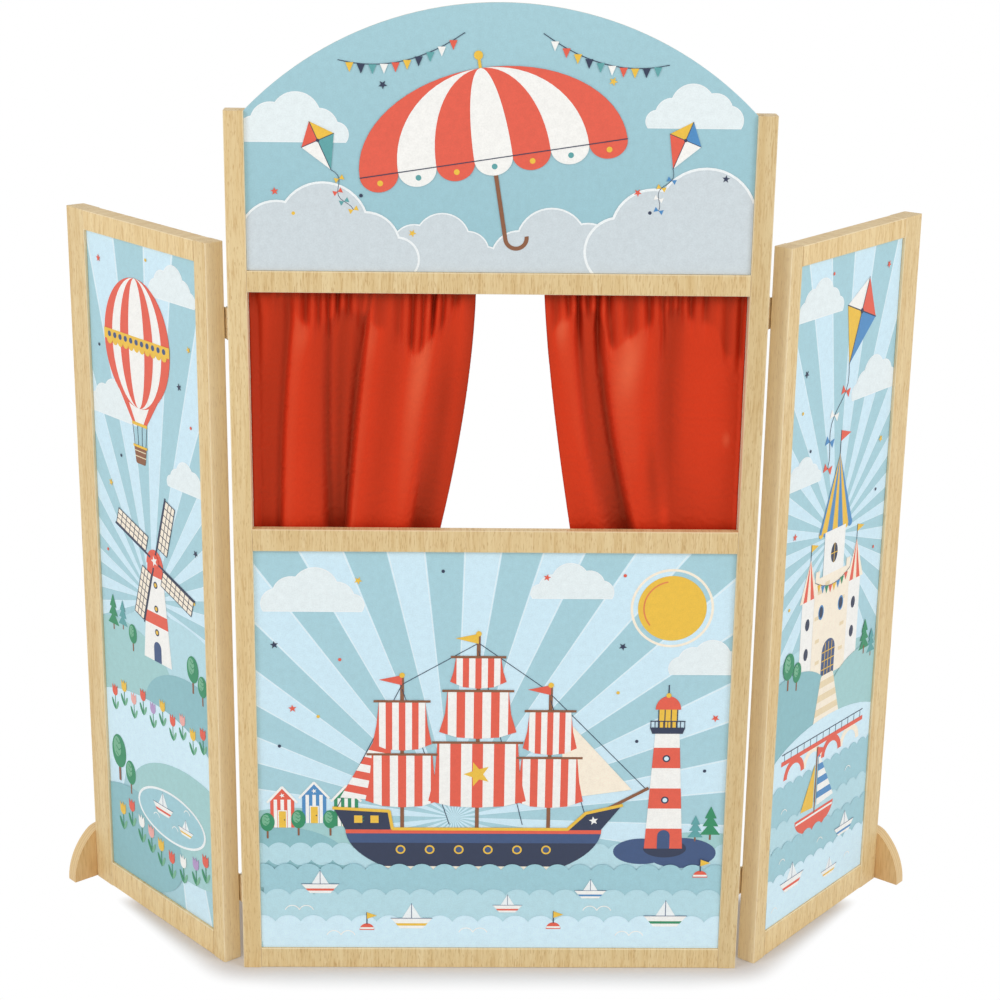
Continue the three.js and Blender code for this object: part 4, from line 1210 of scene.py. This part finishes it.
# The hanging cloth, let slacken under its own weight with the pocket held on the rod
def settleCloth(name, values, columns, rows, length):
    c = curtain
    bm = bmesh.new()
    bmesh.ops.create_grid(bm, x_segments=columns, y_segments=rows, size=1)
    table = gridNumbers(bm, columns, rows)
    for row, line in enumerate(table):
        for column, vertex in enumerate(line):
            vertex.co = hangPoint(values, column / columns, row / rows * length)[0] * mm
    bm.verts.index_update()
    numbers = [[vertex.index for vertex in line] for line in table]
    mesh = meshOf(bm, name)
    start = [vertex.co.copy() for vertex in mesh.vertices]
    settled = list(start)
    piece = addObject(name, mesh)
    held = piece.vertex_groups.new(name="held")
    pocketRun = 2 * c["seamBelowRod"] + math.pi * c["pocketRadius"]
    for row, line in enumerate(numbers):
        held.add(line, 1 if row / rows * length < pocketRun else c["lightHold"], "REPLACE")
    cloth = piece.modifiers.new("hang", "CLOTH")
    for key, value in c["physics"].items():
        setattr(cloth.settings, key, value)
    cloth.point_cache.frame_start = 1
    cloth.point_cache.frame_end = c["frames"]
    for step in range(1, c["frames"] + 1):
        bpy.context.scene.frame_set(step)
    view = bpy.context.evaluated_depsgraph_get()
    eased = piece.evaluated_get(view).to_mesh()
    furthest = c["furthestMove"] * mm
    for number, vertex in enumerate(eased.vertices):
        move = vertex.co - start[number]
        if move.length > furthest:
            move *= furthest / move.length
        settled[number] = start[number] + move
    piece.evaluated_get(view).to_mesh_clear()
    bpy.context.scene.frame_set(1)
    bpy.data.objects.remove(piece)
    bpy.data.meshes.remove(mesh)
    points = [[settled[number] / mm for number in line] for line in numbers]
    for point in sum(points, []):
        point.x = limited(point.x, -c["outerEdge"], c["outerEdge"])
        point.y = limited(point.y, c["nearest"] - c["settledRoom"], c["farthest"] + c["settledRoom"])
        point.z = max(point.z, c["hemHeight"] + c["hemRoom"])
    return points


# Red polyester satin over a fine warp-faced weave, with a faint sheen; the crowns of the folds carry a
# painted highlight and painted glints, and their recesses painted shade
def makeSatin(name):
    s = curtain["satin"]
    material, add = newMaterial(name)
    flat = add("UVMap", uv_map="cut")
    # warp and weft are 0.25 mm apart on the real cloth, and are drawn further apart so that they show; a wave
    # texture of scale 1 has a band every tau / 20
    warp = add("TexWave", {"Vector": flat, "Scale": 1 / (s["warpPitch"] * mm) / 20 * math.tau,
                           "Distortion": 0.6, "Detail": 1.0}, bands_direction="X")
    across, along = [1 / (size * mm) for size in s["slubSize"]]
    field = add("Mapping", {"Vector": flat, "Scale": (across, along, 1)})
    slub = add("TexNoise", {"Vector": field, "Scale": 1.0, "Detail": 2.0})
    cloud = add("TexNoise", {"Vector": flat, "Scale": 1 / (s["cloudSize"] * mm), "Detail": 2.0})
    slubShare = add("MapRange", {0: slub, 1: 0.35, 2: 0.7, 4: 0.3})
    cloudShare = add("MapRange", {0: cloud, 1: 0.35, 2: 0.7, 4: 0.25})
    paintedShade = add("Attribute", attribute_name="paintedShade").outputs["Fac"]
    foldShade = add("MapRange", {0: paintedShade, 1: 0.2, 4: 0.95})  # painted shade in the folds' recesses
    # painted highlight on the crowns of the folds and on the painted glints
    crownHighlight = add("MapRange", {0: paintedShade, 1: 0.18, 2: -0.3, 4: 0.69})
    tone = s["body"]
    for share, key in ((slubShare, "slub"), (cloudShare, "cloudy"), (foldShade, "foldShade"), (crownHighlight, "crownHighlight")):
        tone = add("Mix", {0: share, 6: tone, 7: s[key]}, data_type="RGBA")
    gloss = add("MapRange", {0: slub, 1: 0.3, 2: 0.7, 3: 0.36, 4: 0.48})
    height = add("Math", {0: warp, 1: slub}, operation="ADD")
    bump = add("Bump", {"Strength": 0.3, "Distance": 0.06 * mm, "Height": height})
    shader = add("BsdfPrincipled", {"Base Color": tone, "Roughness": gloss, "Normal": bump, "IOR": 1.5,
                                    "Specular Tint": s["highlight"], "Sheen Weight": 0.04,
                                    "Sheen Roughness": 0.4, "Sheen Tint": s["sheen"]})
    add("OutputMaterial", {0: shader})
    return material


redSatin = makeSatin("redPolyesterSatin")


def hangCurtain(word):
    c = curtain
    values = c[word]
    columns = c["columns"]
    length = (2 * c["seamBelowRod"] + math.pi * c["pocketRadius"]
              + c["rodHeight"] - c["seamBelowRod"] - c["hemHeight"])
    rows = round(length / c["rowPitch"])
    points = settleCloth(f"{word}_curtain_hang", values, columns, rows, length)
    # the hems are turned behind: some columns down each side, and the last rows up from the bottom
    sideColumns = round(c["sideHem"] / (values["width"] / columns))
    hemRows = round(c["hemTurn"] / c["rowPitch"])
    allColumns, allRows = columns + 2 * sideColumns, rows + hemRows
    bm = bmesh.new()
    bmesh.ops.create_grid(bm, x_segments=allColumns, y_segments=allRows, size=1)
    cut = bm.loops.layers.uv.new("cut")
    paintedShade = bm.verts.layers.float.new("paintedShade")
    table = gridNumbers(bm, allColumns, allRows)
    pitch = values["width"] / columns
    for row, line in enumerate(table):
        for number, vertex in enumerate(line):
            column = number - sideColumns
            past = max(-column, column - columns, 0)
            under = max(row - rows, 0)
            inside = -column if column < 0 else 2 * columns - column if column > columns else column
            level = min(row, 2 * rows - row)
            point = points[level][inside].copy()
            vertex[paintedShade] = hangPoint(values, inside / columns, level / rows * length)[1]
            point.y += c["hemGap"] * (min(past, 1) + min(under / 1.5, 1) * 1.1)
            vertex.co = point * mm
            for loop in vertex.link_loops:
                loop[cut].uv = (column * pitch * mm, -row * c["rowPitch"] * mm)
    bmesh.ops.recalc_face_normals(bm, faces=bm.faces[:])
    mesh = meshOf(bm, f"{word}_curtain_cloth")
    mesh.materials.append(redSatin)
    for polygon in mesh.polygons:
        polygon.use_smooth = True
    piece = addObject(f"{word}_curtain_cloth", mesh)
    wall = piece.modifiers.new("cloth thickness", "SOLIDIFY")
    wall.thickness = c["cloth"] * mm
    wall.offset = 0
    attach(piece, f"{word}_drape")
    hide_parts(f"{word}_curtain")


hangCurtain("left")
hangCurtain("right")
